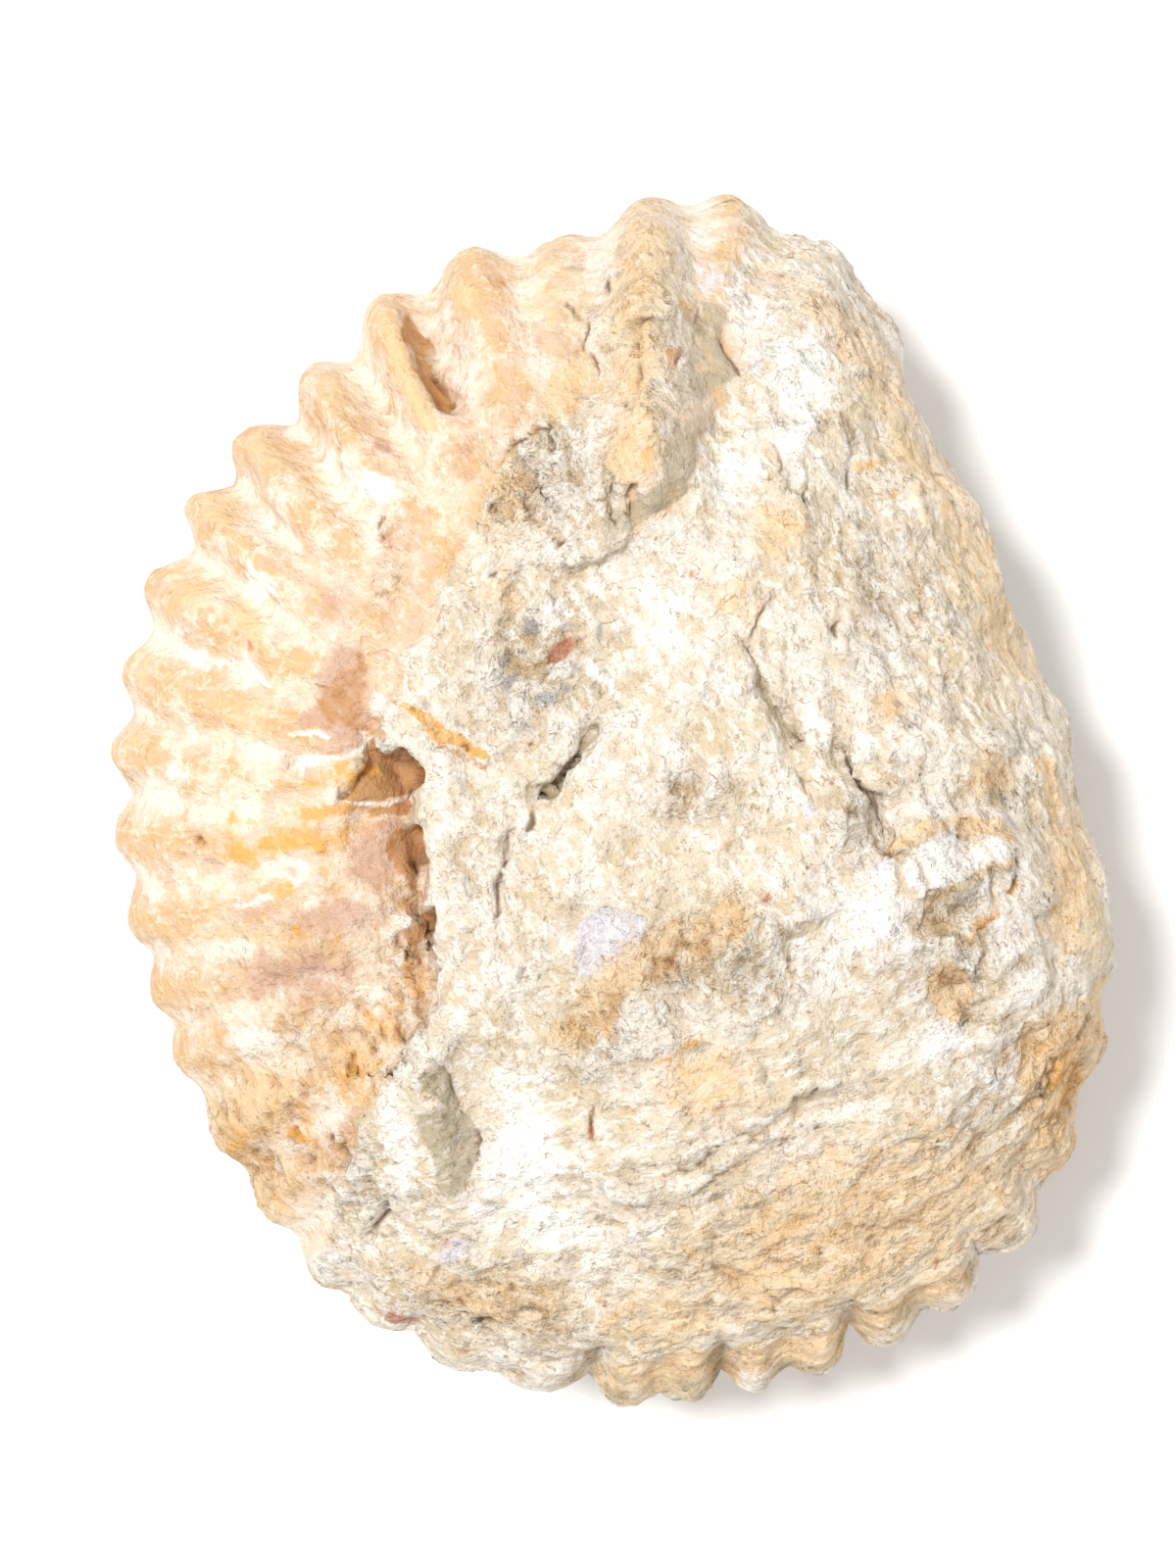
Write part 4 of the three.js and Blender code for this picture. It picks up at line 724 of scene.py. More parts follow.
def top_points(column, s):
    angle = column + round_curve(RIB_BEND, column) * (1 - s)
    radius = round_curve(RIM, angle)
    cos, sin = np.cos(np.radians(angle)), np.sin(np.radians(angle))
    x, y = TOP_CENTRE[0] + s * radius * cos, TOP_CENTRE[1] + s * radius * sin
    height, cover = top_shape(x, y)
    bulge = np.sqrt(np.maximum(0, 1 - s ** TOP_ROUND))
    level, upright = side_normal(s, height - RIM_HEIGHT, radius, TOP_ROUND)
    on_shell = lerp(INNERMOST_RIBS, round_curve(FLANK_RIBS, column), smoothstep(s, *SHELL_RIBS_FROM))
    on_shell = lerp(on_shell, 1, smoothstep(s, *FULL_RIBS_FROM))
    on_rock = smoothstep(s, *MATRIX_RIBS_FROM)
    nick = nick_depth(column) * smoothstep(s, *NICKS_FROM)
    rib = round_curve(RIB_HEIGHT, column) * rib_wave(column) * lerp(on_shell, on_rock, cover) - nick
    z = RIM_HEIGHT + (height - RIM_HEIGHT) * bulge + details(x, y) * smoothstep(bulge, *DETAILS_FROM)
    push = (rib + side_lumps(angle, z)) * level
    return np.stack([x + push * cos, y + push * sin, z + rib * upright], 1)


def umbilicus_edge(degrees):
    turn = np.mod(degrees - APERTURE_ANGLE, 360) / 360
    spiral = UMBILICUS_RADIUS * WHORL_RATIO ** -turn
    return lerp(spiral, UMBILICUS_RADIUS, smoothstep(turn * 360, 360 - APERTURE_BLEND, 360))


def under_points(column, s):
    rim = round_curve(RIM, column)
    dx = TOP_CENTRE[0] + rim * np.cos(np.radians(column)) - UMBILICUS[0]
    dy = TOP_CENTRE[1] + rim * np.sin(np.radians(column)) - UMBILICUS[1]
    radius = np.hypot(dx, dy)
    straight = np.degrees(np.arctan2(dy, dx))
    edge = umbilicus_edge(straight)
    wave = rib_wave(column)
    place = (s * radius - edge) / (radius - edge)

    level, upright = side_normal(s, RIM_HEIGHT, radius, UNDER_ROUND)
    at_rim = round_curve(RIB_HEIGHT, column) * wave - nick_depth(column)
    on_flank = round_curve(UNDER_RIB_HEIGHT, column) * wave * smoothstep(place, *UNDER_RIBS_FROM)
    rib = lerp(at_rim, on_flank, smoothstep(1 - s, 0, RIM_BLEND))
    flank_z = RIM_HEIGHT - (RIM_HEIGHT + SINK) * np.sqrt(1 - s ** UNDER_ROUND) - rib * upright
    push = (rib + side_lumps(column, flank_z)) * level

    inward = np.clip(1 - s * radius / edge, 0, 0.999)
    whorls = np.log(1 - inward) / math.log(1 / WHORL_RATIO)
    rounding = np.sin(math.pi * whorls) ** 2 * (1 - inward)
    wall = smoothstep(inward, 0, UMBILICUS_WALL) * lerp(*UMBILICUS_DEPTH, inward)
    coil_z = wall - (INNER_BULGE + INNER_RIB_HEIGHT * wave) * rounding

    r = s * radius + np.where(place < 0, 0, push)
    z = np.maximum(0, np.where(place < 0, coil_z, flank_z))
    angle = np.radians(straight + round_curve(RIB_BEND, column) * (1 - s))
    return np.stack([UMBILICUS[0] + r * np.cos(angle), UMBILICUS[1] + r * np.sin(angle), z], 1)


# ---- Relief of the broken and weathered surface -------------------------------------------------
GRADIENTS = np.array([
    (1, 1, 0), (-1, 1, 0), (1, -1, 0), (-1, -1, 0), (1, 0, 1), (-1, 0, 1), (1, 0, -1), (-1, 0, -1),
    (0, 1, 1), (0, -1, 1), (0, 1, -1), (0, -1, -1),
], float)


def cell_key(cell, seed):
    """A large number of its own for each lattice cell."""
    x, y, z = cell.T
    return x * 73856093 ^ y * 19349663 ^ z * 83492791 ^ (seed + 1) * 2654435761


def scrambled(key):
    return (key ^ (key >> 13)) * 1274126177 & 0x7FFFFFFF


def lattice_noise(points, seed):
    """Smooth gradient noise, about -1 to 1, at an (n, 3) array of points."""
    cell = np.floor(points).astype(np.int64)
    f = points - cell
    fade = f * f * f * (f * (6 * f - 15) + 10)
    total = np.zeros(len(points))
    for corner in np.ndindex(2, 2, 2):
        key = scrambled(cell_key(cell + corner, seed))
        gradient = GRADIENTS[(key >> 7) % len(GRADIENTS)]
        weight = np.prod(np.where(corner, fade, 1 - fade), axis=1)
        total += weight * np.sum(gradient * (f - corner), axis=1)
    return total


def layered(points, wavelength, octaves, seed, ridged=False):
    """Noise summed over octaves, each half as long and half as high as the one before."""
    total, height = np.zeros(len(points)), 1.0
    for octave in range(octaves):
        scaled = points * (2 ** octave / wavelength) + OCTAVE_SHIFT * octave
        layer = lattice_noise(scaled, seed + octave)
        total += height * (0.5 - 2 * np.abs(layer) if ridged else layer)
        height /= 2
    return total


def named_noise(name, points):
    height, *kind = NOISES[name]
    return height * layered(points, *kind)


def grain_frame(points, degrees, stretch):
    """Points turned and squeezed, so that noise read there runs along a direction in the picture."""
    cos, sin = math.cos(math.radians(degrees)), math.sin(math.radians(degrees))
    along = points[:, 0] * cos + points[:, 1] * sin
    across = points[:, 1] * cos - points[:, 0] * sin
    return np.stack([along / stretch, across, points[:, 2]], 1)


def fine_marks(x, y):
    """Height of the cracks, flakes and pits, and 0 to 1 in the cracks and pits, where soil lies and shade
    is painted.
    """
    height, soil_and_painted_shade = np.zeros(x.shape), np.zeros(x.shape)
    flat = np.stack([x, y, 0 * x], 1)
    wobble = named_noise("marks", flat)
    for path, reach, depth, step in CRACKS:
        distance, signed, past, along = nearest(path, x, y)
        bent = np.hypot(signed + wobble, past)
        thick = reach * (CRACK_ENDS + CRACK_MIDDLE * np.sin(math.pi * along) ** 0.7)
        cut = gauss(bent, np.maximum(thick, THINNEST)) * np.minimum(1, thick / THINNEST) ** 0.5
        side = 0.5 + 0.5 * np.tanh((signed + wobble) / CRACK_STEP)
        height += step * side * gauss(distance, CRACK_SIDE) * gauss(past, 1) - depth * cut
        soil_and_painted_shade = np.maximum(soil_and_painted_shade, cut)
    for path, soft, rise, fade in LEDGES:
        height += rise * step_across(path, soft, fade, x + wobble, y + wobble)
    for cx, cy, radius, depth in PITS:
        cut = gauss(np.hypot(x - cx + 1.2 * wobble, y - cy - wobble), PIT_SHARE * radius)
        height -= PIT_SHARE * depth * cut
        soil_and_painted_shade = np.maximum(soil_and_painted_shade, PIT_SHARE * cut)
    for outline, rise in FACETS:
        height += rise * smoothstep(within(outline, x, y) + 0.6 * wobble, -FACET_EDGE, FACET_EDGE)
    return height, soil_and_painted_shade


def within(outline, x, y):
    """Distance to a closed outline, above 0 inside it and below 0 outside."""
    distance = nearest(outline + outline[:1], x, y)[0]
    inside = np.zeros(x.shape, bool)
    for (ax, ay), (bx, by) in zip(outline, outline[1:] + outline[:1]):
        level = (y - ay) / (by - ay or 1)
        inside ^= ((ay > y) != (by > y)) & (x < lerp(ax, bx, level))
    return np.where(inside, distance, -distance)


def chips(points, size, seed):
    """Flat facets about a size across, each tilted its own way, as broken stone has: about -1 to 1."""
    scaled = points / size
    cell = np.floor(scaled).astype(np.int64)
    total, weights = np.zeros(len(points)), np.zeros(len(points))
    for offset in np.ndindex(3, 3, 3):
        at = cell + offset - 1
        key = cell_key(at, seed)
        away = scaled - at
        tilted = np.zeros(len(points))
        reach = np.zeros(len(points))
        for axis in range(3):
            key = scrambled(key)
            centre = (key >> 6) % 1024 / 1023
            tilt = (key >> 16) % 1024 / 1023 - 0.5
            tilted += CHIP_TILT * tilt * (away[:, axis] - centre)
            reach += (away[:, axis] - centre) ** 2
        weight = np.exp(-CHIP_EDGE * reach)
        total += weight * (tilted + (key >> 8) % 512 / 511 - 0.5)
        weights += weight
    return total / weights


def zones(x, y):
    """Shares of the lower, the upper right and the remaining matrix, whose grain runs differently."""
    low = smoothstep(-y + 0.25 * x, 24, 34)
    upper = smoothstep(x + 0.35 * y, 12, 26) * (1 - low)
    return low, upper, 1 - low - upper


def rock_relief(points, rough):
    """Chipped limestone, whose facets are drawn out along the grain."""
    bent = points + np.stack([named_noise(f"rock bend {axis}", points) for axis in "xyz"], 1)
    shares = zones(points[:, 0], points[:, 1])
    height = named_noise("rock waves", bent)
    for share, (degrees, stretch, seed) in zip(shares, GRAINS):
        turned = grain_frame(bent, degrees, stretch)
        for layer, (size, rise) in enumerate(CHIPS):
            height += share * rise * chips(turned, size, seed + layer)
    tooth = lerp(*TOOTH_RISE, rough) * named_noise("rock tooth", points)
    return lerp(*CHIPS_RISE, rough) * height + tooth


def shell_relief(points, column):
    """The worn shell: soft dents, flaky growth lines along the ribs and a fine tooth."""
    bend = named_noise("shell bend", points)
    along = [np.hypot(points[:, 0], points[:, 1]), points[:, 2]]
    lines = np.stack([column * GROWTH_LINES + bend, *(part / GROWTH_LINE_LENGTH for part in along)], 1)
    flakes = chips(points + bend[:, None], *SHELL_FLAKES)
    return (
        named_noise("shell dents", points) + SHELL_FLAKE_RISE * flakes
        + named_noise("growth lines", lines) + named_noise("shell tooth", points)
    )


def crumble(points, x, y):
    """Depth of the small ragged holes where the surface has crumbled."""
    ragged = named_noise("holes", points) + named_noise("small holes", points)
    return CRUMBLE_DEPTH * smoothstep(ragged, *CRUMBLE_LEVEL) * blot(STAINS["crumbled"], x, y)


def blot(stain, x, y):
    """Strength of a stain at each place, 0 to about 1."""
    blots, streaks, areas = stain
    mask = np.zeros(x.shape)
    for cx, cy, rx, ry, strength, *degrees in blots:
        turn = math.radians(degrees[0]) if degrees else 0
        cos, sin = math.cos(turn), math.sin(turn)
        u, v = (x - cx) * cos + (y - cy) * sin, (y - cy) * cos - (x - cx) * sin
        mask = np.maximum(mask, strength * gauss(np.hypot(u / rx, v / ry), BLOT_SPREAD))
    for path, reach, strength in streaks:
        mask = np.maximum(mask, strength * gauss(nearest(path, x, y)[0], BLOT_SPREAD * reach))
    for outline, strength in areas:
        mask = np.maximum(mask, strength * smoothstep(within(outline, x, y), -AREA_EDGE, AREA_EDGE))
    return mask


# ---- The stone's mesh ---------------------------------------------------------------------------
def blown_cube():
    """Directions of a cube's grid points, evenly spread in angle, and its square faces."""
    index, points, faces = {}, [], []
    ticks = np.tan(np.linspace(-1, 1, CELLS + 1) * math.pi / 4)
    for axis in range(3):
        for sign in (-1, 1):
            u_axis, v_axis = (axis + 1) % 3, (axis + 2) % 3
            ids = np.empty((CELLS + 1, CELLS + 1), int)
            for i in range(CELLS + 1):
                for j in range(CELLS + 1):
                    key = [0, 0, 0]
                    key[axis], key[u_axis], key[v_axis] = (CELLS if sign > 0 else 0), i, j
                    key = tuple(key)
                    if key not in index:
                        index[key] = len(points)
                        point = [0.0, 0.0, 0.0]
                        point[axis], point[u_axis], point[v_axis] = sign, ticks[i], ticks[j]
                        points.append(point)
                    ids[i, j] = index[key]
            quads = np.stack([ids[:-1, :-1], ids[1:, :-1], ids[1:, 1:], ids[:-1, 1:]], -1).reshape(-1, 4)
            faces.append(quads if sign > 0 else quads[:, ::-1])
    points = np.array(points)
    return points / np.linalg.norm(points, axis=1)[:, None], np.concatenate(faces)


def make_mesh(points, faces):
    mesh = bpy.data.meshes.new("ammonite_stone")
    mesh.vertices.add(len(points))
    mesh.vertices.foreach_set("co", points.ravel())
    mesh.loops.add(faces.size)
    mesh.loops.foreach_set("vertex_index", faces.ravel())
    mesh.polygons.add(len(faces))
    mesh.polygons.foreach_set("loop_start", np.arange(0, faces.size, 4))
    mesh.polygons.foreach_set("use_smooth", np.ones(len(faces), bool))
    mesh.update(calc_edges=True)
    return mesh


def outward(points, faces):
    """Unit normals of the points of a closed mesh."""
    a, b, c, d = (points[faces[:, k]] for k in range(4))
    facing = np.cross(c - a, d - b)
    total = np.zeros(points.shape)
    for k in range(4):
        for axis in range(3):
            total[:, axis] += np.bincount(faces[:, k], facing[:, axis], len(points))
    return total / np.maximum(1e-9, np.linalg.norm(total, axis=1))[:, None]


def smooth_stone(column, polar):
    """Points of the worn form, how far out each lies (0 at a pole, 1 at the rim), and if it is on top."""
    on_top = polar <= RIM_POLAR
    share = np.where(on_top, polar / RIM_POLAR, (180 - polar) / (180 - RIM_POLAR))
    s = np.sin(share * math.pi / 2)
    points = np.empty((len(s), 3))
    points[on_top] = top_points(column[on_top], s[on_top])
    points[~on_top] = under_points(column[~on_top], s[~on_top])
    return points, s, on_top


def stone_relief(points, column, rock, rough, above):
    """Height of the finer relief on the worn form, and where soil lies and shade is painted in it."""
    x, y, _ = points.T
    marks, soil_and_painted_shade = fine_marks(x, y)
    broken = np.maximum(rock, CRUMBLY_SHELL * rough * above)
    relief = lerp(shell_relief(points, column), rock_relief(points, rough), broken)
    return relief + (marks - crumble(points, x, y)) * above, soil_and_painted_shade * above


def make_stone():
    directions, faces = blown_cube()
    column = np.mod(np.degrees(np.arctan2(directions[:, 1], directions[:, 0])), 360)
    polar = np.degrees(np.arccos(np.clip(directions[:, 2], -1, 1)))
    points, s, on_top = smooth_stone(column, polar)

    x, y, z = points.T
    fade_from, fade_to = (RIM_HEIGHT - below for below in FADE_BELOW_RIM)
    above = smoothstep(z, fade_from, fade_to)
    worn_side = gauss(turn_between(column, WORN_MIDDLE), WORN_REACH) * smoothstep(s, *WORN_ROCK_FROM)
    rough_top = blot(ROUGH_TOP, x, y) * above
    rock = np.clip(np.maximum.reduce([top_shape(x, y)[1] * above, worn_side, rough_top]), 0, 1)
    rough = np.clip(np.maximum(blot(ROUGH, x, y) * above, ROUGH_SIDE * (1 - above)), 0, 1)
    relief, soil_and_painted_shade = stone_relief(points, column, rock, rough, above)
    relief *= np.where(on_top, 1, smoothstep(z, 0, SETTLED))
    moved = points + outward(points, faces) * relief[:, None]
    moved[:, 2] = np.maximum(0, moved[:, 2])

    mesh = make_mesh(fit_to_frame(moved), faces)
    give(mesh, "rock", rock)
    give(mesh, "lower", zones(x, y)[0])
    # Where cracks and pits hold dark soil and painted shade.
    give(mesh, "soil_and_painted_shade", soil_and_painted_shade)
    give(mesh, "high", stands_proud(relief, faces))
    give(mesh, "rough", rough)
    give(mesh, "crest", rib_wave(column) * smoothstep(s, *OCHRE_FROM))
    turn = np.radians(column)
    give(mesh, "fibre", np.stack([
        FIBRES * np.cos(turn), FIBRES * np.sin(turn), np.hypot(x, y) / FIBRE_LENGTH,
    ], 1))
    drift = [at + named_noise(f"stain edge {axis}", points) for axis, at in (("x", x), ("y", y))]
    for name, stain in STAINS.items():
        # The painted shade would run down the side as a dark band, so it ends sooner.
        reach = above ** 3 if name == "painted_shade" else above
        give(mesh, name, blot(stain, *drift) * reach)
    return placed("ammonite_stone", mesh)


def give(mesh, name, values):
    """Stores a number, or three, at each point of the mesh, for the material to read."""
    kind, field = ("FLOAT", "value") if values.ndim == 1 else ("FLOAT_VECTOR", "vector")
    layer = mesh.attributes.new(name, kind, "POINT")
    layer.data.foreach_set(field, values.astype(np.float32).ravel())


def stands_proud(relief, faces):
    """Above 0 where a point stands out from its surroundings, below 0 in a hollow, about -1 to 1."""
    ends = np.concatenate([faces[:, [k, (k + 1) % 4]] for k in range(4)])
    count = np.bincount(ends[:, 0], minlength=len(relief))
    around = relief
    for _ in range(SURROUNDINGS):
        around = np.bincount(ends[:, 0], around[ends[:, 1]], len(relief)) / count
    return np.clip((relief - around) / PROUD_RISE, -1, 1)


def fit_to_frame(points):
    """Millimetres about the fossil's origin to metres in the frame, filling the CAD node's box."""
    low, high = (np.array(corner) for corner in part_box("ammonite"))
    least, most = points.min(0), points.max(0)
    return low + (points - least) * (high - low) / (most - least)


# ---- Camera, floor and light --------------------------------------------------------------------
VIEW_HEIGHT = 176          # mm of the rim's level that the picture shows from top to bottom
VIEW_CENTRE = (-2.9, 1.9)
CAMERA_DISTANCE = 600      # above the rim
SENSOR = 36

FLOOR_SIZE = 3000
FLOOR_DROP = 0.2           # below the stone, so that the two faces never coincide
FLOOR_COLOUR = (0.92, 0.92, 0.92, 1)
FLOOR_ROUGHNESS = 0.9

SKY = 0.76                 # light from all round
SKY_COLOUR = (1, 0.99, 0.97, 1)
WINDOW = 2.75              # light from the upper left of the picture
WINDOW_WIDTH = 12          # degrees it spans, which softens its shadows
TO_WINDOW = (-0.31, 0.17, 0.93)


def placed(name, data):
    """A new object in the scene."""
    made = bpy.data.objects.new(name, data)
    bpy.context.scene.collection.objects.link(made)
    return made


def make_camera():
    data = bpy.data.cameras.new("camera")
    data.sensor_fit = "VERTICAL"
    data.sensor_height = SENSOR
    data.lens = SENSOR * CAMERA_DISTANCE / VIEW_HEIGHT
    camera = placed("camera", data)
    camera.location = Vector((*VIEW_CENTRE, RIM_HEIGHT + CAMERA_DISTANCE)) * MM
    bpy.context.scene.camera = camera


def make_floor():
    mesh = bpy.data.meshes.new("floor")
    half = FLOOR_SIZE / 2 * MM
    corners = [(-half, -half, 0), (half, -half, 0), (half, half, 0), (-half, half, 0)]
    mesh.from_pydata(corners, [], [(0, 1, 2, 3)])
    floor = placed("floor", mesh)
    floor.location.z = CAD_BOX[0][2] - FLOOR_DROP * MM
    material = bpy.data.materials.new("floor")
    material.use_nodes = True
    bsdf = material.node_tree.nodes["Principled BSDF"]
    bsdf.inputs["Base Color"].default_value = FLOOR_COLOUR
    bsdf.inputs["Roughness"].default_value = FLOOR_ROUGHNESS
    mesh.materials.append(material)


def make_lights():
    world = bpy.data.worlds.new("studio")
    bpy.context.scene.world = world
    world.use_nodes = True
    background = world.node_tree.nodes["Background"]
    background.inputs["Color"].default_value = SKY_COLOUR
    background.inputs["Strength"].default_value = SKY
    data = bpy.data.lights.new("window", "SUN")
    data.energy = WINDOW
    data.angle = math.radians(WINDOW_WIDTH)
    light = placed("window", data)
    light.rotation_euler = Vector(TO_WINDOW).to_track_quat("Z", "Y").to_euler()
    bpy.context.scene.view_settings.view_transform = "Standard"


# ---- The stone's looks --------------------------------------------------------------------------
# Soft noise that the colours follow: cells for each mm, octaves, roughness.
CLOUDS = {
    "broad": (0.09, 3, 0.55), "patch": (0.22, 5, 0.62), "mottle": (0.4, 5, 0.6), "speck": (1.3, 4, 0.7),
}
# Grain of the matrix: its direction in degrees, how far it is drawn out, cells for each mm.
UPPER_GRAIN = (-62, 1.9, 0.8)
LOWER_GRAIN = (21, 2.6, 0.85)
BIG_CHIPS = 0.9            # cells of the chips for each cell of the grain
SMALL_CHIPS = 2.3

# Ground colours, and tints in the order they are laid on: what a tint follows, where that has none
# and all of the tint, the most that it covers, and its colour.
SHELL_GROUND = "e7d3bb"
SHELL = [
    ("broad", 0.4, 0.6, 1, "dfc0a0"),
    ("ripe", 0.5, 0.62, 0.8, "d7ad75"),         # ochre on the ribs
    ("mottle", 0.48, 0.38, 0.5, "dab7a2"),      # pink
    ("ripe", 0.45, 0.35, 0.6, "f3ebdf"),        # white between the ribs
    ("fibre", 0.52, 0.68, 0.35, "f1e6d4"),      # pale growth lines
]
MATRIX_GROUND = "e6dccf"
MATRIX = [
    ("broad", 0.42, 0.56, 1, "dacbb3"),
    ("patch", 0.5, 0.62, 0.5, "d3bd98"),        # browner
    ("patch", 0.46, 0.36, 0.6, "f3eee6"),       # paler
    ("grain", 0.53, 0.6, 0.6, "f7f3ed"),
    ("mottle", 0.48, 0.36, 0.5, "cfb894"),
    ("speck", 0.42, 0.34, 0.22, "bb9f79"),
]
# Each stain's colour and how fully it covers, in the order they are laid on. The olive tint is partly
# painted shade, and the shade tint is painted shade only.
TINTS = [
    ("grey", "cbc3b6", 0.6), ("lilac", "dcd8de", 0.95), ("blue", "9f9c9e", 0.85),
    ("white", "f8f4ef", 0.85), ("tan", "e6c496", 0.85), ("mauve", "c99f86", 0.8),
    ("olive_and_painted_shade", "b0a287", 0.85), ("painted_shade", "a58c63", 0.7), ("brown", "bd874f", 0.85),
    ("orange", "e4a648", 0.85), ("red", "b86e50", 0.9),
]
STAIN_EDGE = (0.3, 0.8)    # strength of a stain, with the noise on its edge, where it starts and is full
CHIP_BUMP = 1.3            # mm
TOOTH_BUMP = 0.6


class Nodes:
    """Builds one material's node tree in few words."""

    def __init__(self, name):
        self.material = bpy.data.materials.new(name)
        self.material.use_nodes = True
        self.tree = self.material.node_tree
        self.shader = self.tree.nodes["Principled BSDF"]

    def add(self, kind, inputs=(), **settings):
        node = self.tree.nodes.new(kind)
        for name, value in settings.items():
            setattr(node, name, value)
        for socket, value in dict(inputs).items():
            self.put(node.inputs[socket], value)
        return node

    def put(self, socket, value):
        if isinstance(value, bpy.types.NodeSocket):
            self.tree.links.new(value, socket)
        else:
            socket.default_value = value

    def attribute(self, name, output="Fac"):
        return self.add("ShaderNodeAttribute", attribute_name=name).outputs[output]

    def math(self, operation, *values):
        return self.add("ShaderNodeMath", dict(enumerate(values)), operation=operation).outputs[0]

    def share(self, value, part):
        return self.math("MULTIPLY", value, part)

    def line(self, value, slope, start):
        return self.math("MULTIPLY_ADD", value, slope, start)

    def ramp(self, value, low, high):
        """0 where the value is low, 1 where it is high, smooth between them. Low may be the larger."""
        inputs = {"Value": value, "From Min": low, "From Max": high}
        return self.add("ShaderNodeMapRange", inputs, interpolation_type="SMOOTHSTEP").outputs["Result"]

    def vector_math(self, operation, *vectors):
        return self.add("ShaderNodeVectorMath", dict(enumerate(vectors)), operation=operation)

    def place(self):
        return self.add("ShaderNodeTexCoord").outputs["Object"]

    def noise(self, place, scale, detail, rough, distortion=0.0):
        inputs = {"Vector": place, "Scale": scale, "Detail": detail, "Roughness": rough}
        inputs["Distortion"] = distortion
        return self.add("ShaderNodeTexNoise", inputs).outputs["Fac"]

    def drawn_out(self, degrees, stretch, per_mm):
        """Places in a frame that is drawn out along a direction in the picture."""
        turned = {"Vector": self.place(), "Rotation": (0, 0, math.radians(-degrees))}
        turned = self.add("ShaderNodeMapping", turned).outputs["Vector"]
        scale = (per_mm / MM / stretch, per_mm / MM, per_mm / MM)
        return self.add("ShaderNodeMapping", {"Vector": turned, "Scale": scale}).outputs["Vector"]

    def grain(self, place, rough=0.62):
        return self.noise(place, 1, 4, rough, 0.5)

    def chips(self, place, scale):
        """Height of flat chips, one to each cell of a Voronoi pattern, each tilted its own way."""
        cells = self.add("ShaderNodeTexVoronoi", {"Vector": place, "Scale": scale})
        tilt = self.vector_math("SUBTRACT", cells.outputs["Color"], (0.5, 0.5, 0.5)).outputs["Vector"]
        scaled = self.vector_math("SCALE", place)
        scaled.inputs["Scale"].default_value = scale
        centre = self.vector_math("SCALE", cells.outputs["Position"])
        centre.inputs["Scale"].default_value = scale
        away = self.vector_math("SUBTRACT", scaled.outputs["Vector"], centre.outputs["Vector"])
        return self.vector_math("DOT_PRODUCT", tilt, away.outputs["Vector"]).outputs["Value"]

    def value_mix(self, factor, a, b):
        return self.add("ShaderNodeMix", {"Factor": factor, "A": a, "B": b}).outputs["Result"]

    def mix(self, factor, a, b, blend="MIX"):
        node = self.add("ShaderNodeMix", data_type="RGBA", blend_type=blend)
        self.put(node.inputs["Factor"], factor)
        self.put(node.inputs["A"], a)
        self.put(node.inputs["B"], b)
        return node.outputs["Result"]

    def tint(self, base, follows, low, high, share, tint, blend="MIX"):
        """Lays a colour on the base where what it follows passes from low to high."""
        return self.mix(self.share(self.ramp(follows, low, high), share), base, colour(tint), blend)


def colour(text):
    """A web colour such as e3d2b8 as the linear values that shaders take."""
    parts = [int(text[i:i + 2], 16) / 255 for i in (0, 2, 4)]
    return (*(p / 12.92 if p < 0.04045 else ((p + 0.055) / 1.055) ** 2.4 for p in parts), 1)


def stone_fields(nodes):
    """What the stone's colours and bumps follow, by name."""
    field = {name: nodes.attribute(name) for name in ("rock", "high", "rough", "lower", "soil_and_painted_shade")}
    for name, (per_mm, detail, rough) in CLOUDS.items():
        field[name] = nodes.noise(nodes.place(), per_mm / MM, detail, rough)
    field["ripe"] = nodes.line(nodes.attribute("crest"), 0.12, field["patch"])
    field["fibre"] = nodes.grain(nodes.attribute("fibre", "Vector"), 0.65)
    threads = nodes.noise(nodes.place(), 0.4 / MM, 3, 0.55, 0.6)
    field["wisp"] = nodes.math("ABSOLUTE", nodes.math("SUBTRACT", threads, 0.5))
    upper, lower = nodes.drawn_out(*UPPER_GRAIN), nodes.drawn_out(*LOWER_GRAIN)
    field["grain"] = nodes.value_mix(field["lower"], nodes.grain(upper), nodes.grain(lower))
    for name, scale in (("big", BIG_CHIPS), ("small", SMALL_CHIPS)):
        high, low = nodes.chips(upper, scale), nodes.chips(lower, scale)
        field[name] = nodes.value_mix(field["lower"], high, low)
    return field


def bare_stone(nodes, field):
    """Peach shell and cream matrix, without stains."""
    shell, matrix = colour(SHELL_GROUND), colour(MATRIX_GROUND)
    for name, *tint in SHELL:
        shell = nodes.tint(shell, field[name], *tint)
    for name, *tint in MATRIX:
        matrix = nodes.tint(matrix, field[name], *tint)
    wisps = nodes.share(nodes.ramp(field["wisp"], 0.05, 0.01), nodes.ramp(field["mottle"], 0.46, 0.56))
    shell = nodes.mix(nodes.share(wisps, 0.4), shell, colour("f6efe4"))
    return nodes.mix(field["rock"], shell, matrix)


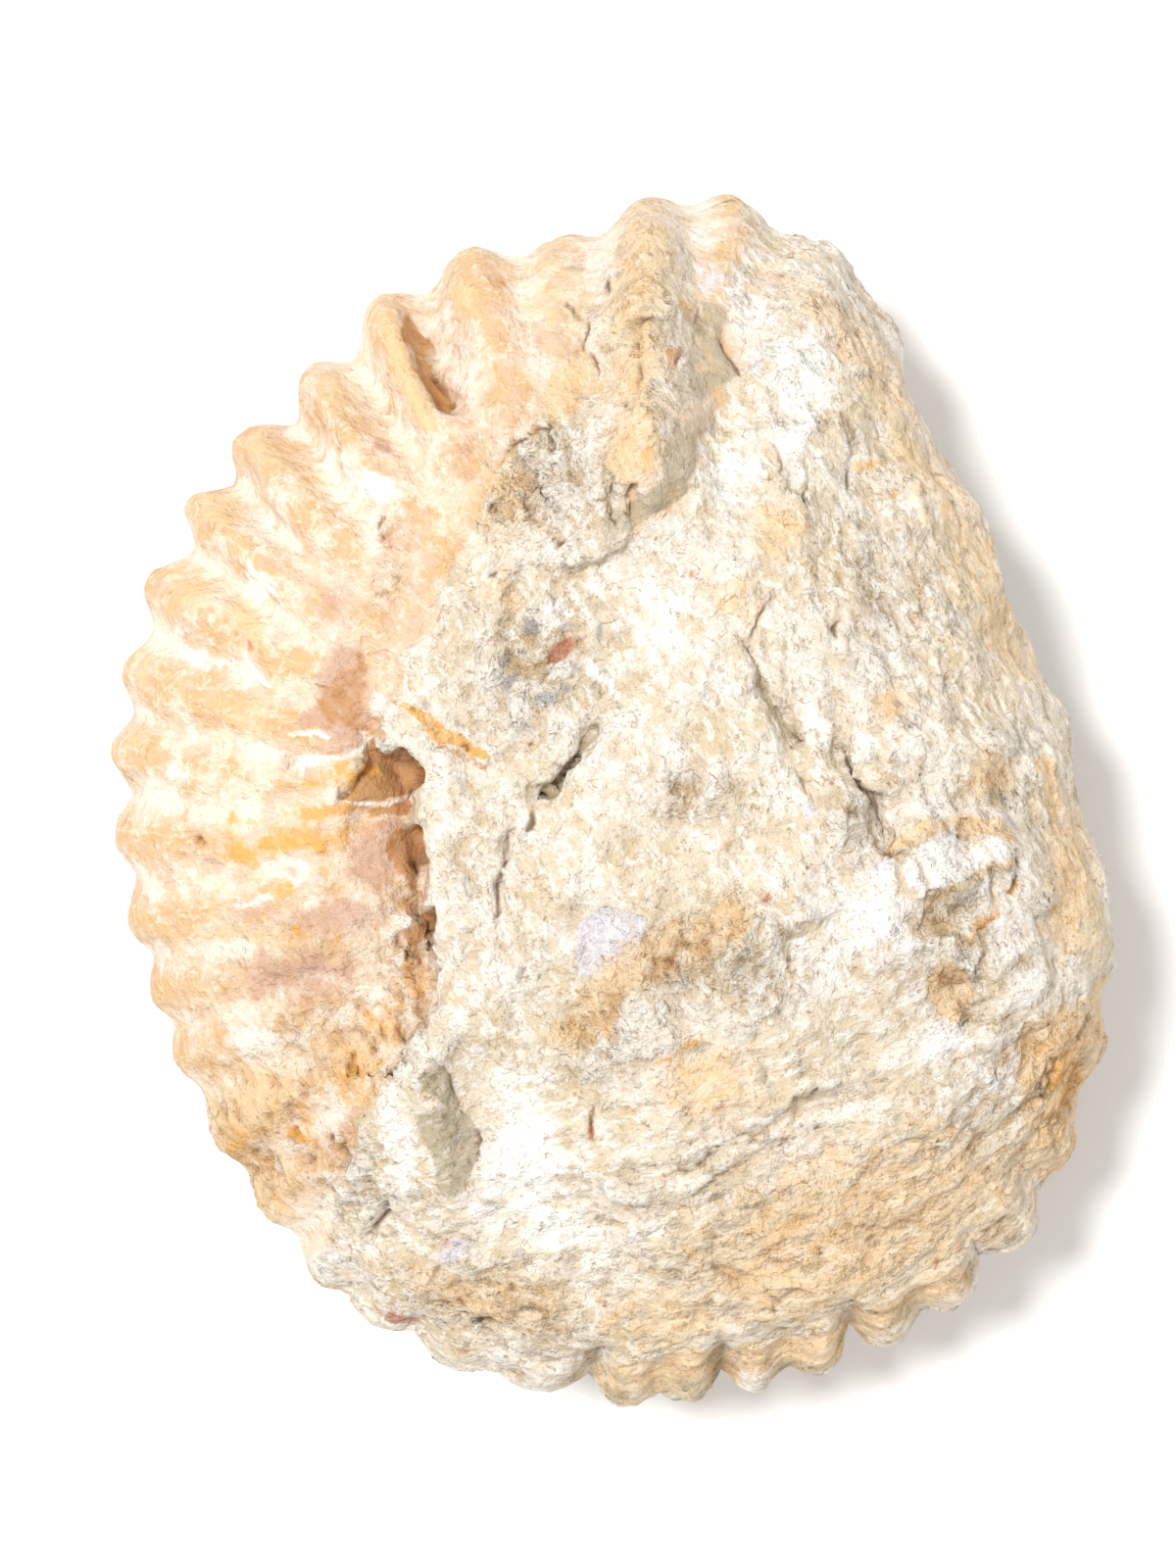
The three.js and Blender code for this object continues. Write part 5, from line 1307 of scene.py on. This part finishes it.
def stone_colour(nodes, field):
    rock, mottle, grain = field["rock"], field["mottle"], field["grain"]
    level = nodes.math("ADD", field["high"], nodes.line(grain, 2, nodes.math("SUBTRACT", mottle, 1.5)))
    amount = nodes.line(field["rough"], 0.6, 0.12)

    # Fresh pale stone shows where the break stands proud.
    base = nodes.tint(bare_stone(nodes, field), level, 0.1, 0.9, amount, "f2ece2")

    edge = nodes.math("ADD", nodes.line(mottle, 1.2, -0.6), nodes.math("SUBTRACT", grain, 0.5))
    for name, tint, share in TINTS:
        strength = nodes.math("ADD", nodes.attribute(name), edge)
        base = nodes.tint(base, strength, *STAIN_EDGE, share, tint)

    # Pale grain shows through the stains of the break.
    base = nodes.tint(base, grain, 0.5, 0.6, nodes.share(rock, 0.3), "f2e9db")

    # Thin tan lines wander over the matrix.
    lines = nodes.share(nodes.ramp(field["wisp"], 0.018, 0.004), nodes.ramp(mottle, 0.48, 0.54))
    base = nodes.mix(nodes.share(lines, nodes.share(rock, 0.6)), base, colour("b0875a"), "MULTIPLY")

    # Dust lies in the hollows of the break. Its cracks and pits get dark soil, which is also painted
    # shade.
    base = nodes.tint(base, level, 0, -1, amount, "dabf9a", "MULTIPLY")
    base = nodes.tint(base, field["speck"], 0.45, 0.3, nodes.share(amount, 0.85), "ccad82", "MULTIPLY")
    # Dark soil colour in the cracks and pits, partly painted shade in these crevices.
    soil_and_shade_colour = nodes.mix(rock, colour("8d5f37"), colour("66492c"))
    return nodes.mix(nodes.share(nodes.ramp(field["soil_and_painted_shade"], 0.3, 0.95), 0.8), base, soil_and_shade_colour)


def stone_bump(nodes, field):
    """Relief too fine for the mesh: chips on the break, growth lines on the shell, and a tooth."""
    mottle, rough = field["mottle"], field["rough"]
    chipped = nodes.line(field["small"], 0.38, nodes.math("ADD", field["big"], nodes.share(mottle, 1.6)))
    chipped = nodes.share(chipped, nodes.line(rough, 0.8, 0.6))
    lined = nodes.line(field["fibre"], 0.2, mottle)
    broken = nodes.math("MAXIMUM", field["rock"], nodes.share(rough, 0.8))
    height = nodes.value_mix(broken, lined, chipped)
    coarse = {"Height": height, "Strength": 1, "Distance": CHIP_BUMP * MM}
    coarse = nodes.add("ShaderNodeBump", coarse).outputs["Normal"]
    tooth = nodes.share(field["speck"], nodes.line(rough, 0.36, 0.18))
    fine = {"Height": tooth, "Strength": 1, "Distance": TOOTH_BUMP * MM, "Normal": coarse}
    return nodes.add("ShaderNodeBump", fine).outputs["Normal"]


def stone_material():
    nodes = Nodes("limestone")
    field = stone_fields(nodes)
    nodes.put(nodes.shader.inputs["Base Color"], stone_colour(nodes, field))
    nodes.put(nodes.shader.inputs["Roughness"], nodes.line(field["mottle"], 0.2, 0.75))
    nodes.put(nodes.shader.inputs["Normal"], stone_bump(nodes, field))
    return nodes.material


make_camera()
make_floor()
make_lights()
stone = make_stone()
stone.data.materials.append(stone_material())
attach(stone, "root")
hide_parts("ammonite")
